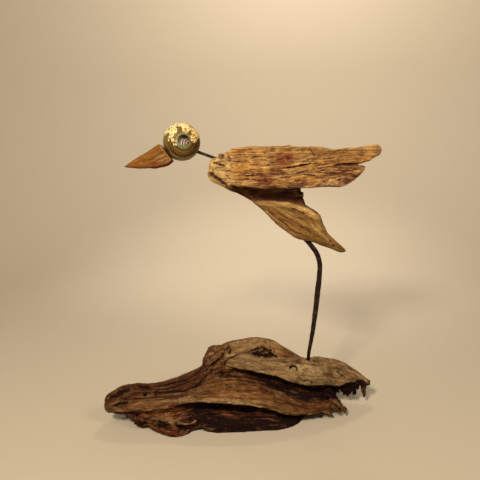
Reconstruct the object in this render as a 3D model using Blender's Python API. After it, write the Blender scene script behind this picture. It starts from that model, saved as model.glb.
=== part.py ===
"""A bird made of driftwood on an iron leg, standing in a driftwood root."""
import math

import bmesh
import bpy
import numpy as np
from mathutils import Matrix, Vector

for old in list(bpy.data.objects):
    bpy.data.objects.remove(old, do_unlink=True)

# Driving dimensions in metres. The bird's middle plane is y = 0 while the pieces are made.
CLEAR = 0.0003              # gap at every fit
BALL_R = 0.0295             # the head's ball
BALL_AT = Vector((-0.0873, 0.0, 0.4623))
BORE_R = 0.0085             # the hole through the ball that is the eye
BORE_AXIS = Vector((0.237, -0.96, 0.139)).normalized()
BALL_FLAT = 0.0010          # depth of the flat that the beak sits on
BALL_FLAT_AT = Vector((-0.818, 0.0, -0.575)).normalized()
BORE_LIP = 0.0022           # depth of the bore's rounded lip
GROOVE_AT, GROOVE_DEEP = math.radians(55.5), 0.0009     # the turned groove, from the bore's axis
EYE_SET_BACK = 0.0215       # from the ball's centre to the middle of the insert's face
EYE_BACK, EYE_BEVEL = 0.0160, 0.0008
NECK_R = 0.0025
NECK_SEAT = 0.012           # how deep the neck rod goes into the ball and into the body
LEG_R_TOP, LEG_R_MID, LEG_R_FOOT = 0.0042, 0.0047, 0.0030
LEG_BOTTOM_Z, LEG_SEAT_BODY = 0.049, 0.020
WING_LEAN = math.radians(22.0)      # from upright, lower edge outwards
WING_TOP_Z, WING_TOP_Y = 0.4510, 0.0105     # inner face at its top edge
WING_THICK, WING_THIN = 0.0115, 0.0075      # at the top edge and at the lower edge
NAIL_R, NAIL_HEAD_R, NAIL_HEAD = 0.0014, 0.0030, 0.0013
NAIL_LONG = 0.042
BEAK_HALF = 0.0095          # half the beak's thickness at the ball
WORM_R, TAIL_HOLE_R = 0.0012, 0.0011
WORMS = [(-163.2, 58.5), (-144.2, 57.5)]        # (x, z) in mm, as are all the tables below

# Base: lines that run along the root from its left end to its broken right end, as (x, y, z) in mm.
CREST = [(-227, -56, 53), (-209, -56, 67), (-181, -54, 70), (-156, -50, 65), (-130, -44, 67),
         (-100, -35, 72), (-76, -26, 80), (-55, -18, 96), (-31, -10, 113), (-5, -8, 119), (22, -6, 123),
         (45, -6, 119), (69, -6, 105), (94, -6, 88), (112, -4, 75), (137, -2, 64), (158, 0, 50)]
BACK_CREST = [(-227, -48, 51), (-209, -45, 64), (-181, -40, 66), (-156, -36, 61), (-130, -30, 63),
              (-100, -20, 68), (-76, -10, 76), (-55, 0, 92), (-31, 8, 109), (-5, 10, 114), (22, 12, 117),
              (45, 12, 113), (69, 12, 100), (94, 12, 83), (112, 14, 70), (137, 15, 60), (158, 12, 47)]
BROW = [(-227, -63, 50), (-206, -64, 63), (-177, -63, 67), (-156, -60, 64), (-128, -54, 62),
        (-98, -47, 66), (-69, -40, 77), (-33, -36, 92), (7, -35, 95), (52, -33, 88), (94, -28, 66),
        (137, -18, 50), (158, -13, 42)]
UNDERCUT = [(-227, -67, 45), (-206, -69, 58), (-177, -69, 64), (-156, -66, 62), (-128, -60, 60),
            (-98, -48, 61), (-69, -37, 70), (-34, -32, 80), (11, -29, 76), (53, -27, 65), (95, -24, 48),
            (131, -22, 37), (158, -20, 32)]
MID_TOP = [(-227, -69, 40), (-206, -74, 51), (-177, -75, 59), (-155, -73, 59), (-127, -68, 57),
           (-97, -57, 60), (-69, -49, 68), (-33, -46, 77), (10, -50, 72), (30, -54, 66), (52, -57, 60),
           (68, -58, 53), (88, -57, 40), (128, -50, 32), (158, -41, 26)]
MID_BELLY = [(-227, -70, 35), (-206, -76, 43), (-187, -80, 49), (-154, -81, 52), (-125, -79, 52),
             (-95, -78, 58), (-67, -78, 66), (-33, -82, 67), (9, -85, 64), (49, -85, 55), (86, -80, 38),
             (116, -71, 31), (143, -60, 26), (158, -48, 22)]
MID_EDGE = [(-227, -67, 28), (-211, -71, 31), (-189, -77, 36), (-163, -83, 41), (-137, -86, 42),
            (-104, -88, 47), (-75, -88, 54), (-40, -88, 53), (9, -89, 48), (41, -89, 39), (65, -86, 28),
            (99, -78, 19), (134, -66, 16), (158, -52, 13)]
LOW_CUT = [(-227, -62, 23), (-191, -69, 27), (-156, -75, 30), (-123, -75, 31), (-90, -70, 33),
           (-64, -62, 35), (-16, -60, 30), (9, -60, 25), (42, -62, 19), (75, -62, 14), (119, -52, 11),
           (158, -40, 10)]
LOW_FRONT = [(-227, -57, 20), (-192, -66, 19), (-165, -79, 13), (-138, -93, 14), (-113, -101, 13),
             (-89, -95, 18), (-65, -87, 19), (-41, -89, 16), (-17, -88, 13), (8, -88, 12), (41, -86, 9),
             (74, -78, 6), (94, -68, 6), (127, -48, 8), (158, -32, 9)]
FRONT_FOOT = [(-227, -51, 18), (-192, -58, 12), (-165, -71, 3), (-145, -86, -2), (-113, -100, -4),
              (-93, -93, -1), (-78, -84, 5), (-62, -88, -1), (-41, -92, -4), (0, -91, -4), (56, -90, -4),
              (84, -77, -2), (100, -60, 4), (127, -40, 8), (158, -24, 9)]
UNDER = [(-227, -45, 19), (-192, -44, 12), (-165, -48, 6), (-138, -55, 3), (-113, -60, 3), (-80, -45, 4),
         (-60, -25, -1), (0, -15, -3), (70, -15, -3), (95, -18, 2), (127, -14, 8), (158, -8, 12)]
BACK_FOOT = [(-227, -40, 23), (-192, -28, 15), (-165, -26, 10), (-138, -20, 6), (-113, -12, 5),
             (-80, 12, 4), (-55, 32, -1), (-20, 42, -3), (40, 46, -3), (80, 34, 0), (105, 22, 7),
             (127, 16, 13), (158, 7, 18)]
BACK_BELLY = [(-227, -37, 31), (-192, -18, 32), (-156, -10, 33), (-113, 4, 34), (-80, 26, 36),
              (-40, 50, 38), (0, 58, 40), (40, 58, 38), (80, 44, 36), (110, 32, 35), (140, 24, 35),
              (158, 16, 32)]
BACK_SHOULDER = [(-227, -40, 42), (-209, -30, 50), (-181, -22, 53), (-156, -17, 50), (-130, -9, 51),
                 (-100, 6, 54), (-76, 18, 60), (-55, 26, 70), (-31, 32, 80), (0, 36, 86), (40, 38, 84),
                 (69, 32, 76), (94, 28, 67), (127, 22, 54), (158, 17, 42)]
# How sharply the surface turns at each line, 0 round to 1 sharp.
ROOT_LINES = [(CREST, 0.1), (BROW, 0.2), (UNDERCUT, 0.0), (MID_TOP, 0.7), (MID_BELLY, 0.0),
              (MID_EDGE, 0.9), (LOW_CUT, 0.0), (LOW_FRONT, 0.3), (FRONT_FOOT, 0.9), (UNDER, 0.2),
              (BACK_FOOT, 0.7), (BACK_BELLY, 0.0), (BACK_SHOULDER, 0.2), (BACK_CREST, 0.1)]
# The pale slab that lies over the root's front and goes on past it on the right.
SLAB_TOP = [(-29, -36, 108), (-14, -35, 113), (11, -38, 106), (36, -40, 101), (62, -36, 99),
            (83, -28, 97), (102, -16, 89), (121, -8, 84), (136, -4, 82), (168, -4, 75), (193, -7, 60),
            (210, -10, 47), (217, -13, 40)]
SLAB_FACE = [(-29, -44, 104), (11, -53, 102), (52, -57, 96), (77, -57, 90), (111, -48, 83),
             (156, -36, 69), (187, -29, 53), (217, -21, 36)]
SLAB_EDGE = [(-29, -45, 96), (-14, -49, 94), (7, -53, 91), (30, -56, 86), (52, -58, 82), (76, -59, 71),
             (110, -53, 59), (139, -45, 55), (155, -39, 47), (183, -33, 41), (205, -27, 38), (217, -20, 33)]
SLAB_UNDER = [(-29, -38, 94), (7, -38, 86), (52, -38, 76), (76, -36, 64), (110, -32, 53), (139, -26, 46),
              (165, -20, 40), (190, -16, 38), (217, -14, 31)]
SLAB_BACK_LOW = [(-29, -31, 98), (7, -24, 92), (52, -22, 82), (100, -16, 58), (139, 2, 44), (165, 6, 40),
                 (190, 2, 37), (217, -7, 31)]
SLAB_BACK = [(-29, -30, 104), (7, -24, 102), (52, -22, 94), (100, -6, 80), (125, 8, 72), (150, 14, 62),
             (170, 12, 56), (193, 6, 47), (217, -6, 36)]
SLAB_LINES = [(SLAB_TOP, 0.2), (SLAB_FACE, 0.0), (SLAB_EDGE, 0.6), (SLAB_UNDER, 0.0), (SLAB_BACK_LOW, 0.2),
              (SLAB_BACK, 0.0)]
ROOT_STEP = 9.5             # mm between sections
SKIN, SKIN_KEPT = 0.0020, 0.052     # voxel that joins the root's shapes, and the share of faces kept
LEVEL = 0.0006              # height at which the feet are cut level
LEFT_END, RIGHT_END = 9.0, 7.0      # mm by which the rounded ends go on
# Broken points on the right: root, tip and radius in mm
POINTS = [((212, -15, 40), (214, -14, 9), 3.6), ((206, -17, 40), (207, -16, 20), 3.0),
          ((197, -20, 42), (194, -18, 15), 4.0), ((189, -21, 42), (187, -21, 22), 2.8),
          ((181, -24, 44), (180, -22, 17), 3.8), ((170, -25, 44), (171, -24, 25), 3.2),
          ((148, -48, 25), (170, -42, 20), 3.8), ((144, -54, 17), (177, -46, 8), 4.4),
          ((196, -4, 42), (221, -9, 25), 3.6), ((148, -44, 12), (172, -43, 4.5), 3.2),
          ((150, -14, 34), (178, -12, 28), 4.5), ((148, 4, 30), (176, 4, 20), 5.0)]

# Body: (x, z) in mm from the breast to the tip of the tail. The far side mirrors it, a little flatter.
BODY_TOP = [(-49, 412), (-48, 420), (-45, 430), (-39, 438), (-30, 443), (-15, 447), (20, 448), (60, 446),
            (85, 436), (96, 420), (101, 396), (103, 372), (106, 357), (120, 348), (130, 340), (135, 330),
            (138, 318), (142, 311), (152, 302), (162, 292), (170, 285), (176, 279)]
BODY_BOTTOM = [(-49, 408), (-47, 403), (-40, 398), (-29, 393), (-17, 385), (2, 377), (18, 368), (29, 358),
               (40, 349), (53, 334), (66, 322), (79, 312), (89, 303), (100, 298), (122, 293), (132, 288),
               (149, 282), (160, 277), (170, 274), (176, 276)]
BODY_LEDGE = [(-49, 410), (-40, 414), (-25, 408), (0, 392), (29, 370), (50, 366), (77, 363), (99, 357),
              (104, 354), (115, 346), (125, 338), (135, 322), (150, 300), (165, 287), (176, 278)]
# Half thickness at the wings' seat, in the scoop, on the ledge and at the belly, along x.
BODY_HALF = [(-49, 3, 3, 3, 3), (-46, 9, 9, 9, 8), (-38, 14, 14, 14, 12), (-24, 17, 16, 16, 13),
             (0, 19, 14, 17, 14), (30, 19, 9, 17, 15), (60, 18, 8, 17, 15), (90, 14, 9, 17, 15),
             (102, 8, 10, 16, 14), (115, 7, 11, 15, 13), (135, 6, 9, 12, 10), (155, 4, 6, 8, 7),
             (170, 2, 3, 4, 4), (176, 1, 1.5, 1.5, 1.5)]
BODY_STEP = 6.0
BODY_FOLD = [98.0, 102.5, 105.0]        # more sections where the chunk under the wings ends
CHUNK_END, CHUNK_FROM, CHUNK_OVER = 100.0, 8.0, 20.0
NECK_NOTCH = [(-37, -3, 441), (8, 9, 5)]        # middle and half sizes
BREAST_GROOVE = [(-56, -12, 417), (-40, -16.5, 408), (-16, -18.5, 396)]
BREAST_GROOVE_R = (0.0018, 0.0024, 0.0010)
TAIL_HOLES = [(148.6, 296.3), (153.7, 287.7)]

# Wings: outline in the plank's plane, (along x, down from the top line) in mm, and the nails.
NEAR_WING = [(-22.4, 14.9), (-17.6, 6.5), (-8.3, 2.9), (4, 0.9), (19.4, 0.1), (50, 1.4), (80.7, 0.4),
             (88.3, 2.5), (126.6, 3.6), (141.8, 7.1), (149.4, 8.4), (164.8, 7), (187.9, 6.1), (203.3, 3.7),
             (215.6, 3), (220.1, 6.2), (222.1, 11), (219.5, 17.1), (210.1, 22.3), (202.2, 27.5),
             (191.3, 30.3), (183.6, 32.2), (189.7, 33.5), (195.6, 36.6), (193.8, 42.7), (185.8, 50.2),
             (177.9, 57.7), (170.1, 62.1), (162.3, 65.7), (154.6, 67.6), (139.4, 66.6), (108.9, 67.2),
             (78.4, 66.4), (47.9, 66.3), (17.5, 63.9), (2.3, 62), (-9.8, 59.3), (-17.5, 62), (-20.2, 45.9),
             (-21.3, 28.9)]
FAR_WING = [(-12, 16), (-6, 9), (12, 7), (52, 8), (96, 7), (128, 11), (160, 12), (186, 10), (201, 14),
            (206, 21), (198, 27), (181, 31), (187, 36), (183, 43), (170, 51), (152, 57), (132, 60),
            (100, 59), (62, 61), (24, 58), (-2, 58), (-9, 44)]
NEAR_NAILS = [(40.7, 53.8), (76.9, 20.8)]
FAR_NAILS = [(34.0, 48.0), (69.0, 23.0)]
WING_CRACKS = [[(67, 36), (87, 35), (113, 29.6)], [(145, 33.6), (171, 32), (186, 32.4)],
               [(88, 44.4), (107, 41.8)], [(10, 46), (36, 46)]]

# Beak seen from the side, tip first, as (x, z) in mm from the middle of its seat on the ball.
BEAK_TOP = [(-70.4, -18.9), (-63.9, -13.6), (-51.9, -4.5), (-43.7, 0.1), (-27.4, 6.5), (-19.2, 11.1),
            (-14.2, 14.4), (-9.2, 13.7)]
BEAK_LOW = [(-70.4, -19.9), (-64.4, -21.3), (-53.4, -22.9), (-37.4, -23.9), (-29.4, -22.7), (-13.4, -20.5),
            (0.6, -17.3), (9.2, -13.7)]

# Leg and neck, (x, y, z) in mm.
LEG_LINE = [(113.2, -6, 62), (113.6, -6, 76), (114.5, -6, 88), (116.5, -5, 103), (119.2, -4, 118),
            (122.2, -3, 136), (124.4, -2, 154), (126.6, -1, 172), (128.7, 0, 191), (130.2, 0, 209),
            (132.2, 0, 227), (133.1, 0, 245), (132.9, 0, 254), (131.6, 0, 262.5), (128.6, 0, 271.5),
            (123.9, 0, 280), (117.4, 0, 288.6), (111.4, 0, 296)]
LEG_R_AT = (0, 90, 125, 185, 270, 320)      # heights of the leg's radii in mm
NECK_FROM, NECK_TO = Vector((-0.0612, 0.0, 0.4459)), Vector((-0.0360, 0.0, 0.4360))


def along(knots, x):
    """A smooth curve through knots, whose first column is the place, at x. It never overshoots."""
    k = np.array(knots, float)
    place, value = k[:, 0], k[:, 1:]
    step = np.diff(place)[:, None]
    rise = np.diff(value, axis=0) / step
    slope = np.vstack([rise[:1], np.zeros_like(rise[1:]), rise[-1:]])
    same = rise[:-1] * rise[1:] > 0
    total = np.where(same, rise[:-1] + rise[1:], 1.0)
    slope[1:-1] = np.where(same, 2 * rise[:-1] * rise[1:] / total, 0.0)
    i = int(np.clip(np.searchsorted(place, x, side="right") - 1, 0, len(place) - 2))
    t = min(max((x - place[i]) / step[i, 0], 0.0), 1.0)
    return (value[i] * (1 + 2 * t) * (1 - t) ** 2 + slope[i] * step[i] * t * (1 - t) ** 2
            + value[i + 1] * t * t * (3 - 2 * t) + slope[i + 1] * step[i] * t * t * (t - 1))


def round_ring(corners, sharp, parts):
    """A closed ring through the corners, each segment in so many parts, rounder where sharp is low."""
    n = len(corners)
    bend = [(corners[(i + 1) % n] - corners[i - 1]) * 0.5 * (1 - sharp[i]) for i in range(n)]
    ring = []
    for i in range(n):
        a, b = corners[i], corners[(i + 1) % n]
        reach = np.linalg.norm(b - a)
        m = [v * min(1.0, reach / (np.linalg.norm(v) + 1e-9)) for v in (bend[i], bend[(i + 1) % n])]
        for t in np.arange(parts) / parts:
            ring.append(a * (1 + 2 * t) * (1 - t) ** 2 + m[0] * t * (1 - t) ** 2
                        + b * t * t * (3 - 2 * t) + m[1] * t * t * (t - 1))
    return np.array(ring)


def material(name, colour, metal, rough):
    made = bpy.data.materials.new(name)
    made.use_nodes = True
    shader = made.node_tree.nodes["Principled BSDF"]
    shader.inputs["Base Color"].default_value = (*colour, 1.0)
    shader.inputs["Metallic"].default_value = metal
    shader.inputs["Roughness"].default_value = rough
    made.diffuse_color = (*colour, 1.0)
    return made


def piece(name, points, faces, look=None):
    """One named body from points in metres and faces, with its normals facing out."""
    mesh = bpy.data.meshes.new(name)
    mesh.from_pydata([tuple(p) for p in points], [], faces)
    grown = bmesh.new()
    grown.from_mesh(mesh)
    bmesh.ops.remove_doubles(grown, verts=grown.verts, dist=0.000001)
    bmesh.ops.recalc_face_normals(grown, faces=grown.faces)
    grown.to_mesh(mesh)
    grown.free()
    obj = bpy.data.objects.new(name, mesh)
    bpy.context.collection.objects.link(obj)
    if look is None:
        obj.hide_render = True
        obj.display_type = "WIRE"
    else:
        obj.data.materials.append(look)
    return obj


def loft(name, rings, look=None):
    """A skin over rings with the same number of points, closed by a fan at each end."""
    count = len(rings[0])
    points = [p for ring in rings for p in ring] + [np.mean(rings[0], 0), np.mean(rings[-1], 0)]
    faces = []
    for r in range(len(rings) - 1):
        for i in range(count):
            a, b = r * count + i, r * count + (i + 1) % count
            faces.append((a, b, b + count, a + count))
    last = (len(rings) - 1) * count
    for i in range(count):
        faces.append((len(points) - 2, (i + 1) % count, i))
        faces.append((len(points) - 1, last + i, last + (i + 1) % count))
    return piece(name, points, faces, look)


def rod(name, line, radii, sides, look=None):
    """A round bar along a line of points, with its own radius at each."""
    line = [Vector(p) for p in line]
    side = Vector((0, 1, 0))
    rings = []
    for i, p in enumerate(line):
        way = (line[min(i + 1, len(line) - 1)] - line[max(i - 1, 0)]).normalized()
        side = (side - way * side.dot(way)).normalized()
        up = way.cross(side)
        turn = [2 * math.pi * s / sides for s in range(sides)]
        rings.append([np.array(p + (side * math.cos(a) + up * math.sin(a)) * radii[i]) for a in turn])
    return loft(name, rings, look)


def lathe(name, profile, at, axis, sides, look=None, closed=False):
    """A turned body from (height, radius) pairs about an axis through a point."""
    frame = Matrix.Translation(at) @ Vector((0, 0, 1)).rotation_difference(axis).to_matrix().to_4x4()
    turn = [2 * math.pi * s / sides for s in range(sides)]
    rings = [[np.array(frame @ Vector((r * math.cos(a), r * math.sin(a), h))) for a in turn]
             for h, r in profile]
    if not closed:
        return loft(name, rings, look)
    points = [p for ring in rings for p in ring]
    n = len(profile)
    faces = [(r * sides + i, r * sides + (i + 1) % sides, (r + 1) % n * sides + (i + 1) % sides,
              (r + 1) % n * sides + i) for r in range(n) for i in range(sides)]
    return piece(name, points, faces, look)


def boolean(target, tool, kind):
    step = target.modifiers.new(f"{kind.lower()}_{tool.name}", "BOOLEAN")
    step.operation = kind
    step.solver = "EXACT"
    step.object = tool


def lump(name, centre, radii, tilt=(0, 0, 0), rough=0.0, fine=3):
    """A rounded lump in mm, made a little uneven."""
    ball = bmesh.new()
    bmesh.ops.create_icosphere(ball, subdivisions=fine, radius=1.0)
    turn = Matrix.Identity(3)
    for angle, axis in zip(tilt, "XYZ"):
        turn = Matrix.Rotation(angle, 3, axis) @ turn
    points = []
    for v in ball.verts:
        d = v.co
        swell = 1 + rough * math.sin(5 * d.x + 2 * d.z) * math.cos(4 * d.y - 3 * d.z)
        grown = Vector((d.x * radii[0], d.y * radii[1], d.z * radii[2])) * swell
        points.append((Vector(centre) + turn @ grown) / 1000)
    faces = [[v.index for v in f.verts] for f in ball.faces]
    ball.free()
    return piece(name, points, faces)


wood_dark = material("weathered_root", (0.27, 0.15, 0.075), 0.0, 0.75)
wood_gold = material("golden_driftwood", (0.50, 0.30, 0.12), 0.0, 0.70)
wood_pale = material("pale_driftwood", (0.56, 0.38, 0.18), 0.0, 0.70)
wood_beak = material("orange_driftwood", (0.38, 0.19, 0.07), 0.0, 0.65)
iron = material("forged_iron", (0.035, 0.022, 0.018), 0.85, 0.55)
rust = material("rusty_iron", (0.12, 0.045, 0.02), 0.4, 0.8)
glaze = material("olive_float", (0.30, 0.27, 0.09), 0.0, 0.25)
grey = material("grey_metal", (0.45, 0.44, 0.46), 0.8, 0.35)


def rounded_end(ring, reach):
    """Rings that close an end in a quarter round, from the wide one outwards."""
    middle = ring.mean(0)
    end = []
    for t in (0.45, 0.8, 0.97):
        small = middle + (ring - middle) * math.sqrt(1 - t * t)
        small[:, 0] = ring[0, 0] + reach * t
        end.append(small)
    return end


def grown_wood(name, lines, step, parts, wave, left, right, look=None):
    """A long piece of wood from its lines, with long low waves in it and rounded ends."""
    start, stop = lines[0][0][0][0], lines[0][0][-1][0]
    rings = []
    for x in np.linspace(start, stop, int((stop - start) / step) + 1):
        ring = round_ring([along(line, x) for line, _ in lines], [sharp for _, sharp in lines], parts)
        around = np.linspace(0, 2 * math.pi, len(ring), endpoint=False)
        ends = min(1.0, (x - start) / 30, (stop - x) / 30)
        swell = wave * (np.sin(9 * around + x / 37) + 0.8 * np.sin(5 * around - x / 23 + 1)) * ends
        out = ring - ring.mean(0)
        ring = ring + out / np.linalg.norm(out, axis=1)[:, None] * swell[:, None]
        ring[:, 1] = np.maximum(ring[:, 1], 0.0)
        rings.append(np.column_stack([np.full(len(ring), x), ring]) / 1000)
    rings = rounded_end(rings[0], -left / 1000)[::-1] + rings + rounded_end(rings[-1], right / 1000)
    return loft(name, rings, look)


# Root
base = grown_wood("base_driftwood", ROOT_LINES, ROOT_STEP, 2, 0.9, LEFT_END, RIGHT_END, wood_dark)
boolean(base, grown_wood("upper_slab", SLAB_LINES, ROOT_STEP, 2, 0.4, 6.0, 7.0), "UNION")
for tool in (
    lump("knob", (-46, -20, 94), (25, 25, 23), (0.3, -0.5, 0.2), 0.09),
    lump("knob_shoulder", (-34, -24, 90), (26, 22, 24), (0, 0.6, 0), 0.08, 2),
    lump("left_burl", (-214, -56, 42), (22, 17, 20), (0, 0.2, 0), 0.08, 2),
    lump("swell_back", (-20, 36, 40), (60, 24, 34), (0, 0.1, 0.1), 0.05),
    lump("left_stub", (-171, -72, 14), (16, 10, 12), (0, 0.3, 0), 0.1, 2),
    lump("foot_flap", (-93, -90, 23), (21, 10, 5), (0.1, 0.22, 0), 0.05, 2),
):
    boolean(base, tool, "UNION")
for n, (root, tip, thick) in enumerate(POINTS):
    a, b, r = Vector(root) / 1000, Vector(tip) / 1000, thick / 1000
    spike = rod(f"point_{n}", [a, a.lerp(b, 0.5) + Vector((0.0006, 0.001, 0.0004)), a.lerp(b, 0.85), b],
                [r, r * 0.8, r * 0.55, 0.0011], 6)
    boolean(base, spike, "UNION")
for tool in (
    lump("knot_hole", (36, -25, 111), (17, 10, 7), (0.7, 0.15, 0), 0.08, 2),
    lump("left_hollow_a", (-210, -77, 54), (8, 8, 5), (0.4, 0, 0), 0.1, 2),
    lump("left_hollow_b", (-193, -87, 44), (8, 7, 6), (0, 0, 0), 0.1, 2),
    lump("foot_hollow", (-137, -99, 12), (9, 9, 7), (0, 0, 0), 0.1, 2),
    lump("under_flap", (-92, -100, 9), (17, 12, 6), (0, 0.2, 0), 0.1, 2),
    lump("under_shelf", (-45, -88, 42), (26, 15, 7), (0.2, -0.1, 0), 0.1, 2),
):
    boolean(base, tool, "DIFFERENCE")
# The joined shapes become one skin, and the feet are cut level
skin = base.modifiers.new("one_skin", "REMESH")
skin.mode = "VOXEL"
skin.voxel_size = SKIN
thin_out = base.modifiers.new("fewer_faces", "DECIMATE")
thin_out.ratio = SKIN_KEPT
square = [(-0.4, -0.4), (0.4, -0.4), (0.4, 0.4), (-0.4, 0.4)]
floor = loft("floor_cut", [[np.array((x, y, z)) for x, y in square] for z in (-0.05, LEVEL)])
boolean(base, floor, "DIFFERENCE")
for n, (x, z) in enumerate(WORMS):
    mouth = Vector((x / 1000, -0.092, z / 1000 + 0.0045))
    worm = rod(f"worm_{n}", [mouth, mouth + Vector((0.0003, 0.026, -0.006))], [WORM_R] * 2, 8)
    boolean(base, worm, "DIFFERENCE")

# Leg
knots = [(p[2], *p) for p in LEG_LINE]
levels = [LEG_BOTTOM_Z * 1000] + list(np.linspace(LEG_LINE[0][2] + 2, LEG_LINE[-1][2], 28))
leg_points = [np.array((*LEG_LINE[0][:2], z)) if z < LEG_LINE[0][2] else along(knots, z) for z in levels]
way = (leg_points[-1] - leg_points[-2]) / np.linalg.norm(leg_points[-1] - leg_points[-2])
leg_end = leg_points[-1] + way * LEG_SEAT_BODY * 1000
leg_points += [leg_points[-1] + way * LEG_SEAT_BODY * 450, leg_end]
thick = list(zip(LEG_R_AT, (LEG_R_FOOT, LEG_R_FOOT, LEG_R_FOOT * 1.25, LEG_R_MID, LEG_R_TOP, LEG_R_TOP)))
leg_radii = [float(along(thick, min(p[2], LEG_R_AT[-1]))[0]) for p in leg_points]
leg = rod("leg_rod", [tuple(p / 1000) for p in leg_points], leg_radii, 12, iron)
sunk = [(p, r) for p, r in zip(leg_points, leg_radii) if p[2] < 100]
below = sunk[0][0] - np.array((0, 0, CLEAR * 3000))
boolean(base, rod("leg_socket", [tuple(below / 1000)] + [tuple(p / 1000) for p, _ in sunk],
                  [r + CLEAR * 1.3 for r in [LEG_R_FOOT] + [r for _, r in sunk]], 12), "DIFFERENCE")

# Body, with its flanks cut back to the wings' inner faces
tilt = math.tan(WING_LEAN)


def wing_inner(z):
    """How far out the wings' inner faces are at a height, in mm."""
    return (WING_TOP_Y + (WING_TOP_Z - z / 1000) * tilt) * 1000


rings = []
first, last = BODY_TOP[0][0], BODY_TOP[-1][0]
stations = sorted(set(list(np.arange(first, last - 3, BODY_STEP)) + [first + 2, first + 7, last - 3, last]
                      + BODY_FOLD))
for x in stations:
    top, low, ledge = (float(along(line, x)[0]) for line in (BODY_TOP, BODY_BOTTOM, BODY_LEDGE))
    tall = top - low
    ledge = min(max(ledge, low + 0.4 * tall), top - 0.15 * tall) if x > CHUNK_END else min(ledge, top - 1)
    seat, scoop, rim, belly = along(BODY_HALF, x)
    # The chunk under the wings is only there where the top stands well above the ledge.
    chunk = max(0.0, min(1.0, (top - ledge - CHUNK_FROM) / CHUNK_OVER))
    seat_z = ledge + (top - ledge) * 0.62
    scoop_z = ledge + (top - ledge) * 0.22
    scoop = scoop * chunk + rim * (1 - chunk) * 0.9
    side = [(seat * chunk + rim * 0.6 * (1 - chunk), seat_z), (scoop, scoop_z), (rim, ledge),
            (belly, low + 0.35 * (ledge - low)), (belly * 0.5, low + 0.06 * (ledge - low))]
    near = [np.array((-y, z)) for y, z in side]
    far = [np.array((y * 0.92, z)) for y, z in reversed(side)]
    crown = [np.array((-0.35 * seat * chunk, top))]
    corners = crown + near + [np.array((0.0, low))] + far
    ring = round_ring(corners, [0.2] + [0.1, 0.0, 0.5, 0.0, 0.0] + [0.2] + [0.0, 0.0, 0.5, 0.0, 0.1], 2)
    limit = np.array([wing_inner(z) - CLEAR * 1000 for z in ring[:, 1]])
    ring[:, 0] = np.clip(ring[:, 0], -limit, limit)
    rings.append([np.array((x, y, z)) / 1000 for y, z in ring])
body = loft("body_driftwood", rings, wood_pale)
socket = Vector(leg_end) / 1000
back = Vector(way)
boolean(body, rod("leg_seat", [socket + back * 0.0012, socket - back * 0.045],
                  [LEG_R_TOP + CLEAR] * 2, 14), "DIFFERENCE")

# Neck
run = (NECK_TO - NECK_FROM).normalized()
neck_a, neck_b = NECK_FROM - run * NECK_SEAT, NECK_TO + run * NECK_SEAT
neck = rod("neck_rod", [neck_a, NECK_FROM, NECK_TO, neck_b], [NECK_R] * 4, 12, iron)
seat_body = rod("neck_seat_body", [neck_b + run * 0.001, NECK_TO - run * 0.02], [NECK_R + CLEAR] * 2, 12)
boolean(body, seat_body, "DIFFERENCE")
boolean(body, lump("neck_notch", *NECK_NOTCH, (0, 0.35, 0), 0.05, 2), "DIFFERENCE")
groove = rod("breast_groove", [Vector(p) / 1000 for p in BREAST_GROOVE], BREAST_GROOVE_R, 8)
boolean(body, groove, "DIFFERENCE")
for n, (x, z) in enumerate(TAIL_HOLES):
    mouth, foot = (x / 1000, -0.02, z / 1000 + 0.002), (x / 1000, -0.002, z / 1000)
    hole = rod(f"tail_hole_{n}", [mouth, foot], [TAIL_HOLE_R] * 2, 8)
    boolean(body, hole, "DIFFERENCE")

# Head
turns = []
polar = math.asin(BORE_R / BALL_R)
for a in np.linspace(polar + 0.06, math.pi - polar - 0.06, 22):
    turns.append((math.cos(a) * BALL_R, math.sin(a) * BALL_R))
groove_at = [(math.cos(GROOVE_AT + d) * (BALL_R - s), math.sin(GROOVE_AT + d) * (BALL_R - s))
             for d, s in ((-0.05, 0.0), (-0.02, GROOVE_DEEP), (0.02, GROOVE_DEEP), (0.05, 0.0))]
turns = [p for p in turns if abs(math.atan2(p[1], p[0]) - GROOVE_AT) > 0.065] + groove_at
turns.sort(key=lambda p: math.atan2(p[1], p[0]))
edge = math.cos(polar) * BALL_R
profile = [(edge - BORE_LIP, BORE_R)] + turns + [(-edge + BORE_LIP, BORE_R)]
head = lathe("head_float", profile, BALL_AT, BORE_AXIS, 40, glaze, closed=True)
seat_head = rod("neck_seat_head", [neck_a - run * 0.001, NECK_FROM + run * 0.02], [NECK_R + CLEAR] * 2, 12)
boolean(head, seat_head, "DIFFERENCE")
flat_mid = BALL_AT + BALL_FLAT_AT * (BALL_R - BALL_FLAT)
beak_flat = rod("beak_flat", [flat_mid, flat_mid + BALL_FLAT_AT * BALL_R], [BALL_R * 0.7] * 2, 20)
boolean(head, beak_flat, "DIFFERENCE")

# Eye insert: its face slopes back towards the upper right
eye_r = BORE_R - CLEAR
eye_front = EYE_SET_BACK + 0.45 * BORE_R
eye_profile = [(-EYE_BACK, eye_r - EYE_BEVEL), (EYE_BEVEL - EYE_BACK, eye_r), (eye_front - EYE_BEVEL, eye_r),
               (eye_front, eye_r - EYE_BEVEL)]
eye = lathe("eye_insert", eye_profile, BALL_AT, BORE_AXIS, 24, grey)
slope = (BORE_AXIS + Vector((0.30, 0.0, 0.34))).normalized()
face_mid = BALL_AT + BORE_AXIS * EYE_SET_BACK
boolean(eye, rod("eye_face", [face_mid, face_mid + slope * 0.03], [0.03] * 2, 24), "DIFFERENCE")

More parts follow.
